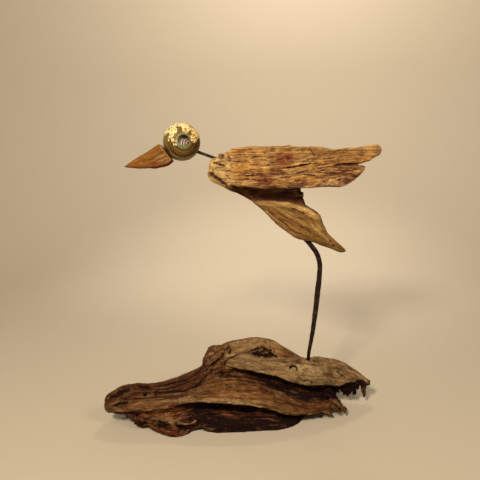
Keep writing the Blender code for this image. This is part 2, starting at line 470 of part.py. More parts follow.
# Beak
seat_mid = BALL_AT + BALL_FLAT_AT * (BALL_R - BALL_FLAT)
rings = []
for t in np.linspace(0, 1, 15):
    share = t ** 1.15
    over = Vector(along([(i / (len(BEAK_TOP) - 1), *p) for i, p in enumerate(BEAK_TOP)], share))
    under = Vector(along([(i / (len(BEAK_LOW) - 1), *p) for i, p in enumerate(BEAK_LOW)], share))
    half = 1000 * BEAK_HALF * (0.10 + 0.90 * t ** 0.8)
    mid = over.lerp(under, 0.5)
    arm = (over - under) / 2
    ring = []
    for a in np.linspace(0, 2 * math.pi, 16, endpoint=False):
        c, s = math.cos(a), math.sin(a)
        c, s = math.copysign(abs(c) ** 0.8, c), math.copysign(abs(s) ** 0.8, s)
        ring.append(np.array((mid.x + arm.x * c, half * s, mid.y + arm.y * c)) / 1000 + np.array(seat_mid))
    rings.append(ring)
beak = loft("beak", rings, wood_beak)
back = seat_mid + BALL_FLAT_AT * CLEAR
boolean(beak, rod("beak_back", [back, back - BALL_FLAT_AT * BALL_R], [BALL_R * 1.4] * 2, 24), "DIFFERENCE")


# Wings and their nails
def wing_place(side, u, down, out):
    """A place on a wing in metres: along, down from the top line and out from the inner face, all in mm."""
    d, o = down / 1000, out / 1000
    y = WING_TOP_Y + d * math.sin(WING_LEAN) + o * math.cos(WING_LEAN)
    return Vector((u / 1000, side * y, WING_TOP_Z - d * math.cos(WING_LEAN) + o * math.sin(WING_LEAN)))


def wing(name, outline, side, look):
    line = np.array(outline, float)
    ahead, behind = np.roll(line, -1, 0) - line, line - np.roll(line, 1, 0)
    inward = []
    for a, b in zip(behind, ahead):
        n = np.array((-a[1], a[0])) / np.linalg.norm(a) + np.array((-b[1], b[0])) / np.linalg.norm(b)
        inward.append(n / max(np.linalg.norm(n), 0.6))
    inward = np.array(inward)
    depth = np.interp(line[:, 1], [0, 67], [WING_THICK * 1000, WING_THIN * 1000])
    layers = [(0.9, 0.0), (0.0, 0.9), (0.0, -1.1), (1.1, 0.0)]
    points = []
    for n, (inset, lift) in enumerate(layers):
        for p, w, d in zip(line, inward, depth):
            q = p + w * inset
            points.append(wing_place(side, q[0], q[1], lift if n < 2 else d + lift))
    count = len(line)
    faces = [tuple(range(count)), tuple(range(3 * count, 4 * count))]
    for r in range(3):
        for i in range(count):
            a, b = r * count + i, r * count + (i + 1) % count
            faces.append((a, b, b + count, a + count))
    return piece(name, points, faces, look)


near = wing("wing_near", NEAR_WING, -1, wood_gold)
far = wing("wing_far", FAR_WING, 1, wood_gold)
for n, crack in enumerate(WING_CRACKS):
    line = []
    for u, down in crack:
        deep = float(np.interp(down, [0, 67], [WING_THICK, WING_THIN])) * 1000
        line.append(wing_place(-1, u, down, deep + 0.2))
    wide = [0.0004] + [0.0011] * (len(line) - 2) + [0.0004] if len(line) > 2 else [0.0008, 0.0005]
    boolean(near, rod(f"wing_crack_{n}", line, wide, 6), "DIFFERENCE")
for plank, side, nails, label in ((near, -1, NEAR_NAILS, "near"), (far, 1, FAR_NAILS, "far")):
    for (u, down), place in zip(nails, ("front", "rear")):
        deep = float(np.interp(down, [0, 67], [WING_THICK, WING_THIN])) * 1000
        head_at = wing_place(side, u, down, deep + CLEAR * 1000)
        inward = (wing_place(side, u, down, -1) - wing_place(side, u, down, 0)).normalized()
        nail = lathe(f"wing_nail_{label}_{place}",
                     [(-NAIL_HEAD, NAIL_HEAD_R * 0.6), (-NAIL_HEAD * 0.6, NAIL_HEAD_R), (0, NAIL_HEAD_R),
                      (0.0001, NAIL_R), (NAIL_LONG - 0.004, NAIL_R), (NAIL_LONG, NAIL_R * 0.25)],
                     head_at, inward, 12, rust)
        for target in (plank, body):
            run_through = [head_at - inward * 0.004, head_at + inward * (NAIL_LONG + 0.001)]
            tool = rod(f"bore_{label}_{place}_{target.name}", run_through, [NAIL_R + CLEAR] * 2, 12)
            boolean(target, tool, "DIFFERENCE")

# The origin goes to the middle of the base's footprint box, on the resting plane
bpy.context.view_layer.update()
kept = [o for o in bpy.data.objects if not o.hide_render]
graph = bpy.context.evaluated_depsgraph_get()
corners = [v.co for o in kept for v in o.evaluated_get(graph).data.vertices]
lows = [min(c[i] for c in corners) for i in range(3)]
highs = [max(c[i] for c in corners) for i in range(3)]
shift = Matrix.Translation((-(lows[0] + highs[0]) / 2, -(lows[1] + highs[1]) / 2, -lows[2]))
for obj in bpy.data.objects:
    obj.data.transform(shift)
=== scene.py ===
import math
from itertools import product

import bmesh
import bpy
import numpy as np
from bpy.props import FloatProperty, FloatVectorProperty, IntProperty, PointerProperty
from mathutils import Matrix, Vector


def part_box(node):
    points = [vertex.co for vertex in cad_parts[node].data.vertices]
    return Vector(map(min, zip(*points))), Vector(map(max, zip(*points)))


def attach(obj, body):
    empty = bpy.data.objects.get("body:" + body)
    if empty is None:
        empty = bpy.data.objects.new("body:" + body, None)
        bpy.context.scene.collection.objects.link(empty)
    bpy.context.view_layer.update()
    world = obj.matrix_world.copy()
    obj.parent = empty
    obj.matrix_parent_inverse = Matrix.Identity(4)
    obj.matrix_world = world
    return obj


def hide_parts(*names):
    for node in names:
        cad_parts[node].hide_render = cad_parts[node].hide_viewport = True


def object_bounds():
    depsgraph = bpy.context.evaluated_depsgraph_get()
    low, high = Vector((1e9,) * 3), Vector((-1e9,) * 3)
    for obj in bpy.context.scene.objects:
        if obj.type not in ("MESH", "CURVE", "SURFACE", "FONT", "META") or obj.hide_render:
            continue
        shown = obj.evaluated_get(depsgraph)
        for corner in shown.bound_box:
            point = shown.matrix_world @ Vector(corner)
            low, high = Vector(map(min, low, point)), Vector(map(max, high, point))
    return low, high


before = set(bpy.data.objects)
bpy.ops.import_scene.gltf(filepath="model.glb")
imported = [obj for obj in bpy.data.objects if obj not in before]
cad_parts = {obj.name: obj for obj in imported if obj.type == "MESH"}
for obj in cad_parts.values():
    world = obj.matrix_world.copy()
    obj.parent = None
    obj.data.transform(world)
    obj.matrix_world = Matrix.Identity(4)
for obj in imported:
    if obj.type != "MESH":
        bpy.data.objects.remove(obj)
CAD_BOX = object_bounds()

bl_info = {
    "name": "Driftwood bird",
    "version": (1, 0, 0),
    "blender": (4, 5, 0),
    "location": "3D View > Sidebar > Driftwood",
    "description": "Carves and finishes the root, planks, ball and iron of a driftwood bird",
    "category": "Add Mesh",
}

# The root's lines, as (y, z) in mm at each place along x. They run round it from the crest, down the front,
# under it and up the back, and the grain follows them.
ROOT_X = (-221, -174, -124, -84, -49, -9, 41, 86, 126, 164)
ROOT_LINES = [
    [(-35, 53), (-33, 70), (-23, 67), (-10, 75), (3, 96), (12, 117), (15, 121), (15, 98), (18, 71), (21, 50)],
    [(-42, 50), (-42, 67), (-33, 62), (-24, 69), (-17, 83), (-15, 93), (-13, 91), (-9, 73), (-1, 56), (8, 42)],
    [(-46, 45), (-48, 63), (-39, 60), (-24, 63), (-14, 74), (-10, 78), (-7, 70), (-4, 54), (-2, 40), (1, 32)],
    [(-48, 40), (-54, 58), (-48, 57), (-34, 62), (-27, 72), (-27, 75), (-34, 65), (-36, 45), (-30, 34), (-20, 26)],
    [(-49, 35), (-59, 50), (-58, 52), (-57, 59), (-58, 66), (-62, 66), (-64, 58), (-60, 41), (-48, 30), (-27, 22)],
    [(-46, 28), (-58, 38), (-65, 43), (-67, 50), (-67, 53), (-68, 50), (-68, 41), (-61, 24), (-50, 17), (-31, 13)],
    [(-41, 23), (-50, 28), (-54, 31), (-49, 33), (-41, 34), (-39, 30), (-41, 20), (-40, 14), (-31, 11), (-19, 10)],
    [(-36, 20), (-51, 16), (-75, 14), (-74, 18), (-67, 18), (-67, 13), (-65, 10), (-54, 6), (-31, 8), (-11, 9)],
    [(-30, 18), (-43, 8), (-72, -3), (-70, 0), (-68, -2), (-70, -4), (-69, -4), (-58, -2), (-24, 7), (-3, 9)],
    [(-24, 19), (-25, 9), (-36, 3), (-29, 4), (-3, -1), (4, -2), (6, -3), (5, -1), (6, 7), (13, 12)],
    [(-19, 23), (-6, 13), (4, 6), (26, 4), (53, -1), (63, -3), (67, -3), (55, 0), (39, 11), (28, 18)],
    [(-16, 31), (6, 32), (19, 34), (40, 35), (62, 37), (76, 39), (79, 38), (65, 36), (50, 35), (37, 32)],
    [(-19, 42), (-1, 53), (12, 51), (32, 56), (47, 70), (55, 83), (59, 84), (51, 72), (44, 57), (38, 42)],
    [(-27, 51), (-19, 66), (-9, 63), (5, 71), (21, 92), (30, 112), (33, 115), (33, 93), (35, 67), (33, 47)],
]
# The same for the pale slab that lies over the root's front
SLAB_X = (-23, 21, 66, 116, 161, 196, 223)
SLAB_LINES = [
    [(-15, 108), (-17, 105), (-15, 99), (8, 87), (17, 78), (14, 62), (8, 40)],
    [(-23, 104), (-32, 101), (-36, 94), (-27, 83), (-15, 69), (-7, 51), (0, 36)],
    [(-24, 96), (-33, 89), (-37, 78), (-32, 59), (-18, 47), (-10, 40), (1, 33)],
    [(-17, 94), (-17, 84), (-16, 72), (-11, 53), (-1, 42), (5, 38), (7, 31)],
    [(-10, 98), (-3, 90), (0, 78), (10, 54), (25, 42), (23, 37), (14, 31)],
    [(-9, 104), (-3, 101), (2, 92), (21, 77), (34, 60), (28, 48), (15, 36)],
]
# Cracks in the root: points in mm, half width and depth in mm
ROOT_CRACKS = [
    ([(-54, -20, 90), (-45, -22, 98), (-36, -20, 104), (-30, -15, 109), (-25, -6, 113)], 3.2, 4.0),
    ([(-152, -30, 66), (-127, -28, 65), (-94, -18, 69), (-69, -10, 78)], 2.0, 2.4),
    ([(-147, -36, 63), (-110, -31, 62), (-85, -24, 68), (-61, -18, 78)], 2.0, 2.6),
    ([(-142, -42, 61), (-114, -37, 58), (-94, -35, 59), (-76, -30, 63), (-58, -23, 69)], 2.2, 2.8),
    ([(-75, -26, 64), (-58, -18, 72), (-44, -23, 90)], 2.0, 2.6),
    ([(-212, -49, 52), (-202, -46, 60), (-193, -41, 64), (-182, -38, 67)], 3.5, 3.0),
    ([(-205, -53, 46), (-194, -55, 49), (-184, -56, 52)], 2.0, 3.5),
    ([(-220, -49, 34), (-205, -53, 44), (-184, -54, 55), (-171, -53, 60)], 1.6, 1.8),
    ([(-172, -34, 70), (-163, -33, 67), (-151, -32, 65)], 3.0, 1.8),
    ([(-108, -61, 26), (-99, -72, 28), (-86, -70, 27), (-72, -61, 23)], 2.0, 2.6),
    ([(-105, -72, 26), (-99, -73, 18), (-91, -76, 17), (-79, -77, 20), (-72, -71, 22)], 2.6, 4.5),
    ([(-188, -47, 24), (-178, -50, 22), (-166, -59, 20), (-159, -59, 13), (-152, -60, 12)], 4.0, 3.0),
    ([(14, -3, 108), (27, 1, 112), (39, 5, 113), (49, 2, 107), (60, -2, 99), (67, -2, 95)], 2.6, 3.0),
    ([(18, -3, 108), (38, -4, 103), (55, -4, 98)], 2.2, 3.0),
    ([(82, -31, 91), (84, -29, 93), (89, -26, 94), (94, -26, 92), (95, -31, 88)], 2.1, 2.6),
    ([(-26, -24, 93), (-25, -23, 102), (-18, -19, 107), (-4, -16, 111), (15, -6, 108)], 2.2, 2.6),
    ([(-24, 2, 110), (-18, 8, 113), (-15, 2, 110), (-19, -8, 107)], 2.4, 2.4),
    ([(-84, -54, 38), (-60, -45, 36), (-32, -44, 34), (-2, -44, 30)], 6.5, 4.0),
    ([(-18, 6, 111), (-6, -3, 107), (9, -3, 107), (38, -6, 102), (68, -9, 97), (94, -12, 94), (112, -5, 88)],
     1.6, 1.4),
    ([(-24, -21, 78), (16, -23, 72), (59, -21, 59), (102, -16, 43)], 1.8, 2.2),
    ([(-24, -28, 75), (16, -33, 71), (46, -30, 63), (84, -26, 47)], 1.8, 1.8),
    ([(35, -45, 65), (66, -36, 56), (83, -34, 47), (90, -40, 41), (98, -49, 37)], 1.6, 1.5),
    ([(-51, -54, 25), (-27, -49, 24), (-2, -53, 19), (8, -59, 15)], 2.0, 2.4),
    ([(-58, -62, 21), (-32, -59, 20), (-9, -61, 15), (14, -66, 12)], 1.8, 2.2),
    ([(-185, -57, 37), (-148, -63, 43), (-124, -58, 36), (-100, -57, 28)], 1.6, 1.6),
    ([(-176, -50, 26), (-150, -56, 29), (-125, -60, 26), (-105, -72, 26)], 1.6, 1.8),
    ([(6, -60, 20), (39, -56, 17), (64, -56, 12), (81, -54, 9)], 1.6, 2.0),
    ([(182, 2, 70), (188, 3, 66), (195, 2, 60)], 1.4, 2.0),
]
# Finer splits in the shelf, the crest and the low front
SHELF_SPLITS = [
    ([(-40, -30, 82), (-30, -40, 76), (-18, -47, 70), (0, -52, 64)], 1.6, 1.6),
    ([(-60, -58, 60), (-30, -57, 62), (10, -55, 62), (50, -52, 56)], 1.3, 1.2),
    ([(-70, -50, 66), (-40, -50, 68), (0, -50, 66), (30, -48, 62)], 1.2, 1.1),
    ([(60, -60, 50), (84, -58, 42), (104, -55, 34), (124, -50, 28)], 1.5, 1.6),
    ([(70, -40, 52), (96, -36, 40), (120, -30, 32), (140, -24, 28)], 1.8, 2.0),
    ([(-120, -60, 50), (-100, -62, 52), (-70, -62, 56)], 1.2, 1.2),
    ([(-60, -40, 40), (-30, -38, 44), (10, -38, 46)], 2.0, 2.4),
    ([(-80, -60, 30), (-60, -52, 30), (-40, -50, 34), (-10, -48, 36)], 1.8, 2.2),
    ([(20, -62, 24), (50, -56, 20), (76, -50, 16)], 1.6, 2.0),
    ([(-10, 14, 118), (12, 16, 121), (36, 18, 116), (60, 18, 108)], 1.2, 1.2),
    ([(30, -20, 92), (50, -22, 88), (66, -26, 84)], 1.0, 0.8),
    ([(110, -10, 84), (128, -8, 80), (142, -6, 74)], 1.1, 1.0),
    ([(-20, -28, 96), (0, -34, 92), (22, -36, 88)], 1.0, 0.8),
    ([(164, -10, 70), (169, -11, 66), (174, -11, 62)], 1.8, 2.6),
    ([(150, -2, 76), (170, 2, 70), (188, 4, 62)], 1.2, 1.4),
]
# Lines drawn on the root: points in mm, half width, then how many mm the wood rises along them, and how much
# darker, redder and paler it is
ROOT_TONES = [
    ([(82, -34, 90), (84, -30, 92), (89, -27, 92), (94, -26, 91), (95, -31, 88), (95, -34, 86)], 1.4, -1.2, 0.85, 0.2, 0),
    ([(87, -34, 89), (91, -32, 86)], 2.4, 0.6, 0.0, 0.2, 0.2),
    ([(103, -35, 66), (109, -34, 70), (118, -31, 67), (120, -31, 59)], 2.2, -0.6, 0.45, 0.0, 0.0),
    ([(17, -24, 80), (58, -38, 84), (99, -36, 70), (152, -21, 54)], 5.0, 0.3, 0.0, 0.0, 0.35),
    ([(-170, -56, 50), (-130, -58, 52), (-99, -59, 55), (-58, -64, 58), (-9, -66, 57), (47, -67, 50), (96, -60, 31),
      (131, -47, 18)], 3.2, 0.5, -0.3, 0.0, 0.6),
    ([(3, -59, 16), (21, -55, 15), (41, -53, 13), (57, -55, 10), (72, -56, 7)], 1.2, 1.4, -1.5, 0.0, 0.5),
    ([(-43, -49, 27), (-33, -51, 24), (-24, -53, 21), (-14, -54, 19), (-2, -56, 17)], 4.6, 1.8, -1.25, 0.5, 0.0),
    ([(-148, -59, 48), (-123, -62, 46), (-99, -59, 40), (-76, -50, 30)], 4.0, 0.3, -0.4, 0.7, 0.0),
    ([(-19, -50, 23), (6, -51, 19), (35, -45, 18), (65, -45, 13)], 3.4, 0.8, -0.45, 0.8, 0.0),
    ([(-1, -56, 67), (35, -50, 64), (73, -43, 51), (104, -40, 40)], 2.0, -0.8, 0.45, 0.4, 0.0),
    # The next two rows paint shade in the recess under the slab, over its darker red wood.
    ([(-13, -22, 88), (17, -16, 77), (51, -18, 67), (85, -14, 54), (121, -10, 42), (162, -12, 44)],
     3.4, -1.0, 0.40, 0.5, 0.0),
    ([(43, -29, 65), (66, -30, 57), (89, -27, 46), (105, -29, 40), (128, -24, 36), (150, -19, 31), (166, -19, 27)],
     8.0, -1.0, 0.86, 0.7, 0.0),
    ([(-7, -26, 75), (10, -26, 73), (30, -28, 68), (53, -28, 61)], 1.4, 1.0, -0.4, 0.2, 0.5),
    ([(-219, -46, 51), (-210, -43, 58), (-200, -40, 64), (-189, -36, 68)], 2.6, -1.4, 0.6, 0.0, 0.0),
    ([(-212, -51, 41), (-198, -53, 51), (-185, -51, 59)], 2.2, -1.2, 0.5, 0.3, 0.0),
    ([(-217, -48, 42), (-207, -52, 38), (-196, -54, 36), (-184, -53, 33)], 4.5, 0.4, -0.5, 0.1, 0.5),
    ([(-181, -54, 57), (-148, -53, 59), (-113, -48, 56), (-84, -44, 60)], 2.0, -0.8, 0.5, 0.3, 0.0),
    ([(-222, -44, 44), (-206, -50, 50), (-192, -48, 60), (-178, -40, 66)], 3.0, 0.5, -0.2, 0.0, 0.6),
    ([(37, -19, 101), (67, -20, 98), (102, -16, 90), (130, -12, 82)], 1.4, -0.5, 0.35, 0.3, 0.0),
    ([(50, -30, 92), (76, -34, 84), (104, -30, 78)], 1.3, -0.3, 0.3, 0.2, 0.0),
    ([(-167, -54, 30), (-150, -56, 30), (-133, -58, 34), (-116, -60, 34), (-98, -66, 34), (-80, -66, 32)],
     8.0, 0.6, -0.8, 0.45, 0.15),
    ([(-184, -58, 44), (-164, -61, 43), (-141, -62, 41)], 6.0, 0.3, -0.6, 0.4, 0.2),
    # Painted shade in the carved line along the shelf's lower edge.
    ([(-118, -58, 44), (-100, -60, 46), (-84, -62, 48), (-68, -62, 49), (-50, -62, 46), (-20, -58, 40)],
     4.6, -4.0, 1.0, 0.0, 0.0),
    ([(-152, -58, 20), (-142, -58, 25), (-133, -59, 26.5), (-123, -61, 25.5), (-114, -65, 22), (-106, -72, 17)],
     4.5, 2.0, -1.7, 0.0, 1.1),
    ([(-136, -65, 18.5), (-130, -68, 17), (-124, -71, 16)], 3.0, -4.0, 1.2, 0.0, 0.0),
    # The flap's top, pale: partly its own wood, partly painted light. The row after it is painted shade under the
    # flap.
    ([(-106, -66, 25.5), (-99, -75, 24), (-92, -77, 23), (-82, -77, 23), (-74, -71, 24), (-69, -62, 25)], 2.9, 2.4, -1.8,
     0.0, 1.2),
    ([(-111, -64, 21), (-103, -72, 18), (-92, -77, 16.5), (-80, -77, 18), (-70, -70, 20)], 2.2, -3.0, 1.3, 0.0, 0.0),
    ([(-176, -53, 33), (-165, -55, 27), (-155, -58, 20)], 4.0, 0.3, -0.7, 0.5, 0.2),
    ([(-128, -74, 9), (-112, -80, 7), (-98, -79, 8)], 5.0, 0.4, -0.6, 0.5, 0.15),
    ([(-156, -58, 14), (-146, -62, 10), (-136, -66, 8)], 3.5, 0.3, -0.4, 0.4, 0.2),
    ([(190, 0, 62), (204, -1, 54), (214, 0, 49), (224, 0, 42)], 4.5, 1.5, -0.5, 0.0, 0.7),
    ([(160, -4, 56), (176, -3, 52), (192, -2, 54)], 3.0, 0.6, -0.2, 0.0, 0.6),
]
# The same for the root's back, which is unrolled: along x, 0, and 36 for each line round the root
BACK_CRACKS = [
    ([(-190, 0, 414), (-150, 0, 420), (-100, 0, 412), (-60, 0, 421)], 2.6, 3.4),
    ([(-120, 0, 448), (-80, 0, 441), (-40, 0, 447), (0, 0, 438)], 2.4, 3.2),
    ([(-50, 0, 426), (-10, 0, 432), (30, 0, 422), (76, 0, 428)], 3.4, 4.6),
    ([(10, 0, 452), (50, 0, 446), (92, 0, 452)], 2.0, 2.6),
    ([(70, 0, 408), (104, 0, 400), (140, 0, 406)], 2.6, 3.2),
    ([(-80, 0, 396), (-40, 0, 388), (4, 0, 395), (46, 0, 386)], 2.8, 3.6),
    ([(100, 0, 430), (128, 0, 438), (156, 0, 432)], 2.0, 2.8),
    ([(-30, 0, 466), (4, 0, 470), (40, 0, 464)], 1.8, 2.2),
    ([(-160, 0, 384), (-120, 0, 378), (-88, 0, 384)], 2.2, 2.6),
]
BACK_TONES = [
    ([(-170, 0, 432), (-110, 0, 430), (-60, 0, 436)], 12.0, 1.4, -0.3, 0.0, 0.55),
    ([(-40, 0, 410), (20, 0, 404), (80, 0, 414)], 13.0, 2.0, -0.3, 0.0, 0.60),
    ([(-10, 0, 456), (40, 0, 460), (90, 0, 440)], 10.0, 1.2, -0.2, 0.0, 0.60),
    ([(-52, 0, 424), (-10, 0, 431), (32, 0, 424)], 7.0, -3.0, 0.7, 0.3, 0.0),
    ([(90, 0, 420), (120, 0, 418), (150, 0, 424)], 8.0, -2.4, 0.6, 0.2, 0.0),
    ([(-150, 0, 404), (-110, 0, 398), (-70, 0, 402)], 8.0, -2.2, 0.4, 0.5, 0.0),
    ([(-60, 0, 380), (0, 0, 374), (60, 0, 380)], 9.0, 1.2, -0.2, 0.5, 0.2),
    ([(24, 0, 436), (34, 0, 440), (44, 0, 436)], 6.5, -4.0, 0.95, 0.0, 0.0),
]
# Shards that hang from the root's broken ends: points in mm with their radius, then how dark and how pale
ROOT_SHARDS = [
    ([(158, 4, 50, 9.0), (164, 1, 42, 9.0), (168, -1, 34, 7.0), (171, -2, 27, 3.0), (172, -3, 24, 1.6)], 1.9, 0.0),
    ([(164, 5, 46, 8.0), (176, 3, 42, 9.5), (190, 3, 40, 9.5), (202, 4, 40, 7.5), (208, 5, 41, 5.0)], 1.9, 0.0),
    ([(166, 9, 40, 8.0), (180, 8, 35, 8.0), (193, 8, 33, 7.0), (203, 8, 35, 4.0)], 1.9, 0.0),
    ([(171, 2, 52, 9.0), (174, 0, 42, 8.0), (176, -2, 33, 5.5), (177, -3, 27, 2.6)], 1.9, 0.0),
    ([(180, 2, 52, 9.0), (181, 0, 42, 8.0), (181, -2, 31, 5.0), (181, -3, 20, 2.0)], 1.9, 0.0),
    ([(188, 3, 50, 8.5), (187, 0, 40, 7.5), (187, -2, 29, 4.6), (187, -3, 18, 2.2)], 1.9, 0.0),
    ([(196, 3, 48, 8.0), (194, 0, 39, 6.5), (192, -2, 30, 3.8), (192, -3, 22, 2.0)], 1.9, 0.0),
    ([(203, 4, 46, 7.0), (200, 1, 37, 5.6), (198, -1, 28, 3.4), (197, -3, 20, 1.4)], 1.9, 0.0),
    ([(209, 5, 44, 6.0), (206, 2, 36, 4.2), (204, 0, 28, 1.6)], 1.7, 0.0),
    ([(214, 6, 42, 5.4), (215, 3, 34, 5.0), (216, 1, 26, 4.2), (217, -1, 19, 3.0), (217, -1, 14, 1.6)], 0.72, 0.2),
    ([(176, 10, 50, 9.0), (180, 11, 41, 7.0), (184, 12, 30, 2.0)], 1.9, 0.0),
    ([(190, 12, 46, 8.0), (194, 13, 37, 6.0), (198, 14, 26, 1.6)], 1.9, 0.0),
    ([(150, -34, 34, 5.0), (158, -37, 31, 6.0), (166, -39, 25, 6.4), (172, -40, 18, 4.8), (176, -40, 10, 1.6)],
     0.30, 0.25),
    ([(148, -34, 27, 5.0), (156, -38, 22, 5.5), (163, -40, 16, 4.0), (168, -40, 11, 1.4)], 0.35, 0.25),
    ([(140, -30, 42, 5.0), (152, -33, 38, 4.4), (163, -35, 33, 1.6)], 1.7, 0.0),
    ([(124, -40, 22, 5.0), (138, -42, 17, 5.0), (148, -43, 12, 3.8), (155, -43, 6, 1.2)], 0.40, 0.25),
    ([(106, -44, 20, 4.0), (120, -45, 16, 4.0), (133, -44, 11, 1.6)], 0.45, 0.3),
    ([(142, -30, 26, 6.0), (152, -32, 22, 4.6), (160, -33, 15, 1.8)], 0.85, 0.0),
    ([(148, -16, 42, 9.0), (156, -15, 34, 7.0), (164, -14, 24, 1.8)], 1.7, 0.0),
    ([(-222, -44, 42, 4.0), (-208, -46, 37, 5.5), (-198, -45, 31, 6.5), (-188, -45, 25, 6.5), (-176, -50, 21, 7.0),
      (-160, -54, 17, 6.0)], 0.62, 0.1),
    ([(-214, -42, 46, 5.0), (-200, -42, 39, 7.0), (-186, -43, 32, 8.0), (-170, -46, 27, 8.0)], 0.7, 0.0),
    ([(-203, -44, 33, 6.0), (-206, -46, 29, 4.4), (-208, -47, 25, 1.6)], 0.88, 0.0),
    ([(-188, -44, 29, 6.5), (-189, -46, 23, 5.0), (-190, -47, 17, 2.0)], 0.9, 0.0),
    ([(-176, -48, 24, 7.0), (-177, -50, 17, 5.6), (-177, -51, 10, 2.4)], 0.92, 0.0),
    ([(-165, -50, 20, 7.0), (-165, -52, 12, 5.4), (-165, -53, 6, 3.0)], 0.92, 0.0),
    ([(-154, -52, 17, 6.0), (-154, -54, 10, 4.6), (-154, -55, 5, 2.6)], 0.92, 0.0),
]
# The wings' planes, and their cracks as (along, down from the top line) in mm, half width and depth
WING_LEAN = math.radians(22.0)
WING_TOP = (10.5, 450.4)            # the inner face's top edge: out from the middle plane, and up
MIDDLE = (6.0, 21.0)                # x and y of the bird's own middle in the part's frame
NEAR_CRACKS = [
    ([(67.2, 36), (87.1, 35.1), (113.4, 29.6)], 1.7, 4.0),
    ([(145.3, 33.6), (171.4, 32), (187, 32.4)], 1.6, 4.0),
    ([(88.3, 44.4), (106.8, 41.8)], 1.3, 2.6),
    ([(10.4, 46.5), (22, 45.5), (38, 46)], 1.5, 3.0),
    ([(100, 47), (118, 49)], 1.2, 2.4),
    ([(50, 38), (66, 40)], 1.2, 2.2),
    ([(22, 17), (34, 16)], 1.1, 2.0),
    ([(86, 56), (104, 57)], 1.2, 2.0),
    ([(160, 50), (176, 46)], 1.2, 2.2),
    ([(-4, 56), (14, 58)], 1.0, 1.8),
    ([(64, 50), (80, 51)], 1.1, 2.0),
    ([(-16.9, 38.3), (-10.8, 38.5)], 1.4, 2.4),
    ([(20, 52.5), (44, 55.5)], 1.3, 2.0),
    ([(60, 24), (73, 19), (84, 21)], 1.4, 2.2),
    ([(108, 10), (112, 8), (119, 21)], 1.2, 2.0),
    ([(0, 7), (12, 5.5)], 1.2, 1.6),
    ([(-15, 13), (-11, 21)], 1.1, 1.6),
    ([(-13, 29), (-7, 34)], 1.1, 1.8),
    ([(-17, 45), (-11, 51)], 1.1, 1.6),
    ([(-8, 24), (6, 23)], 1.1, 1.8),
    ([(18, 30), (34, 29)], 1.0, 1.6),
    ([(40, 12), (58, 10)], 1.0, 1.5),
    ([(128, 24), (150, 22)], 1.1, 1.8),
    ([(150, 12), (172, 9)], 1.0, 1.5),
    ([(134, 55), (150, 52)], 1.1, 2.0),
    ([(120, 44), (146, 47), (172, 45)], 1.2, 2.0),
]
FAR_CRACKS = [([(30, 33), (62, 35), (96, 31)], 1.4, 3.0), ([(110, 40), (150, 38)], 1.2, 2.4)]
# The lines along the tail's upper and lower edge, as (x, z) in mm, that its grain runs between
TAIL_TOP = [(-60, 420), (0, 392), (33, 367), (74, 363), (105, 356), (127, 344), (140, 321), (150, 308), (179, 284)]
TAIL_BOTTOM = [(-60, 416), (-31, 403), (-1, 381), (27, 366), (51, 340), (83, 313), (96, 306), (124, 299),
               (153, 286), (176, 277)]
# The body's splits and bands, in mm
BODY_CRACKS = [
    ([(-34, 9, 430.5), (-25, 5, 428), (-14, 4, 423.5)], 1.9, 4.0),
    ([(-42, 14, 414), (-32, 8, 408.5), (-25, 8, 403.5), (-18, 9, 397), (-11, 9, 391)], 3.3, 7.5),
    ([(89, 4, 355), (98, 4, 351), (111, 5, 344)], 1.9, 2.6),
    ([(-40, 11, 422), (-32, 6, 419), (-22, 5, 414)], 0.9, 1.2),
    ([(-36, 9, 430), (-26, 5, 433), (-16, 6, 430)], 0.9, 1.4),
    ([(27, 8, 382), (30, 6, 376), (36, 5, 371)], 1.5, 2.0),
    ([(46, 7, 354), (58, 7, 344), (79, 8, 328), (104, 11, 307)], 1.3, 1.5),
    ([(52, 6, 351), (71, 6, 337), (91, 6, 327)], 1.2, 1.4),
    ([(85, 12, 317), (104, 7, 318), (123, 8, 312)], 1.3, 1.1),
    ([(80, 4, 360), (101, 5, 350), (125, 9, 338)], 1.1, 1.0),
    ([(70, 4, 352), (100, 5, 338), (128, 9, 326)], 1.1, 1.0),
]
# Lines drawn on the body, as on the root
BODY_TONES = [
    ([(-42, 14, 414), (-32, 8, 408.5), (-25, 8, 403.5), (-18, 9, 397), (-11, 9, 391)], 2.7, 0, 0.95, 0, 0),
    ([(-40, 13, 404.5), (-34, 12, 399.5), (-28, 13, 395), (-22, 14, 391)], 2.8, 1.2, -0.9, 0, 1.0),
    ([(-34, 9, 430.5), (-25, 5, 428), (-14, 4, 423.5)], 1.5, 0, 0.95, 0, 0),
    ([(89, 4, 355), (98, 4, 351), (111, 5, 344)], 1.7, 0, 0.8, 0, 0),
    ([(45, 5, 362), (52, 5, 356), (65, 5, 347), (78, 5, 339), (92, 6, 328), (107, 7, 318), (127, 10, 306)],
     6.0, -2.8, 0.10, 0.05, 0),
    ([(60, 5, 352), (78, 5, 340), (92, 6, 330)], 2.4, -1.4, 0.22, 0.1, 0),
    ([(84, 5, 350), (103, 5, 340), (120, 6, 332), (134, 8, 326)], 4.0, -2.2, 0.15, 0, 0),
    ([(37, 4, 367), (55, 5, 357), (75, 6, 346), (96, 5, 334), (118, 7, 323), (138, 9, 316)], 4.0, 1.2, -0.1, 0, 0.22),
    ([(60, 5, 366), (84, 5, 360), (108, 5, 350), (128, 7, 338)], 4.5, 1.0, -0.1, 0, 0.2),
    ([(40, 9, 358), (59, 11, 338), (75, 13, 322), (97, 15, 303)], 4.0, 0.9, -0.1, 0.1, 0.35),
    ([(126, 9, 318), (142, 10, 306), (160, 12, 292)], 4.0, 0.6, -0.1, 0, 0.3),
]
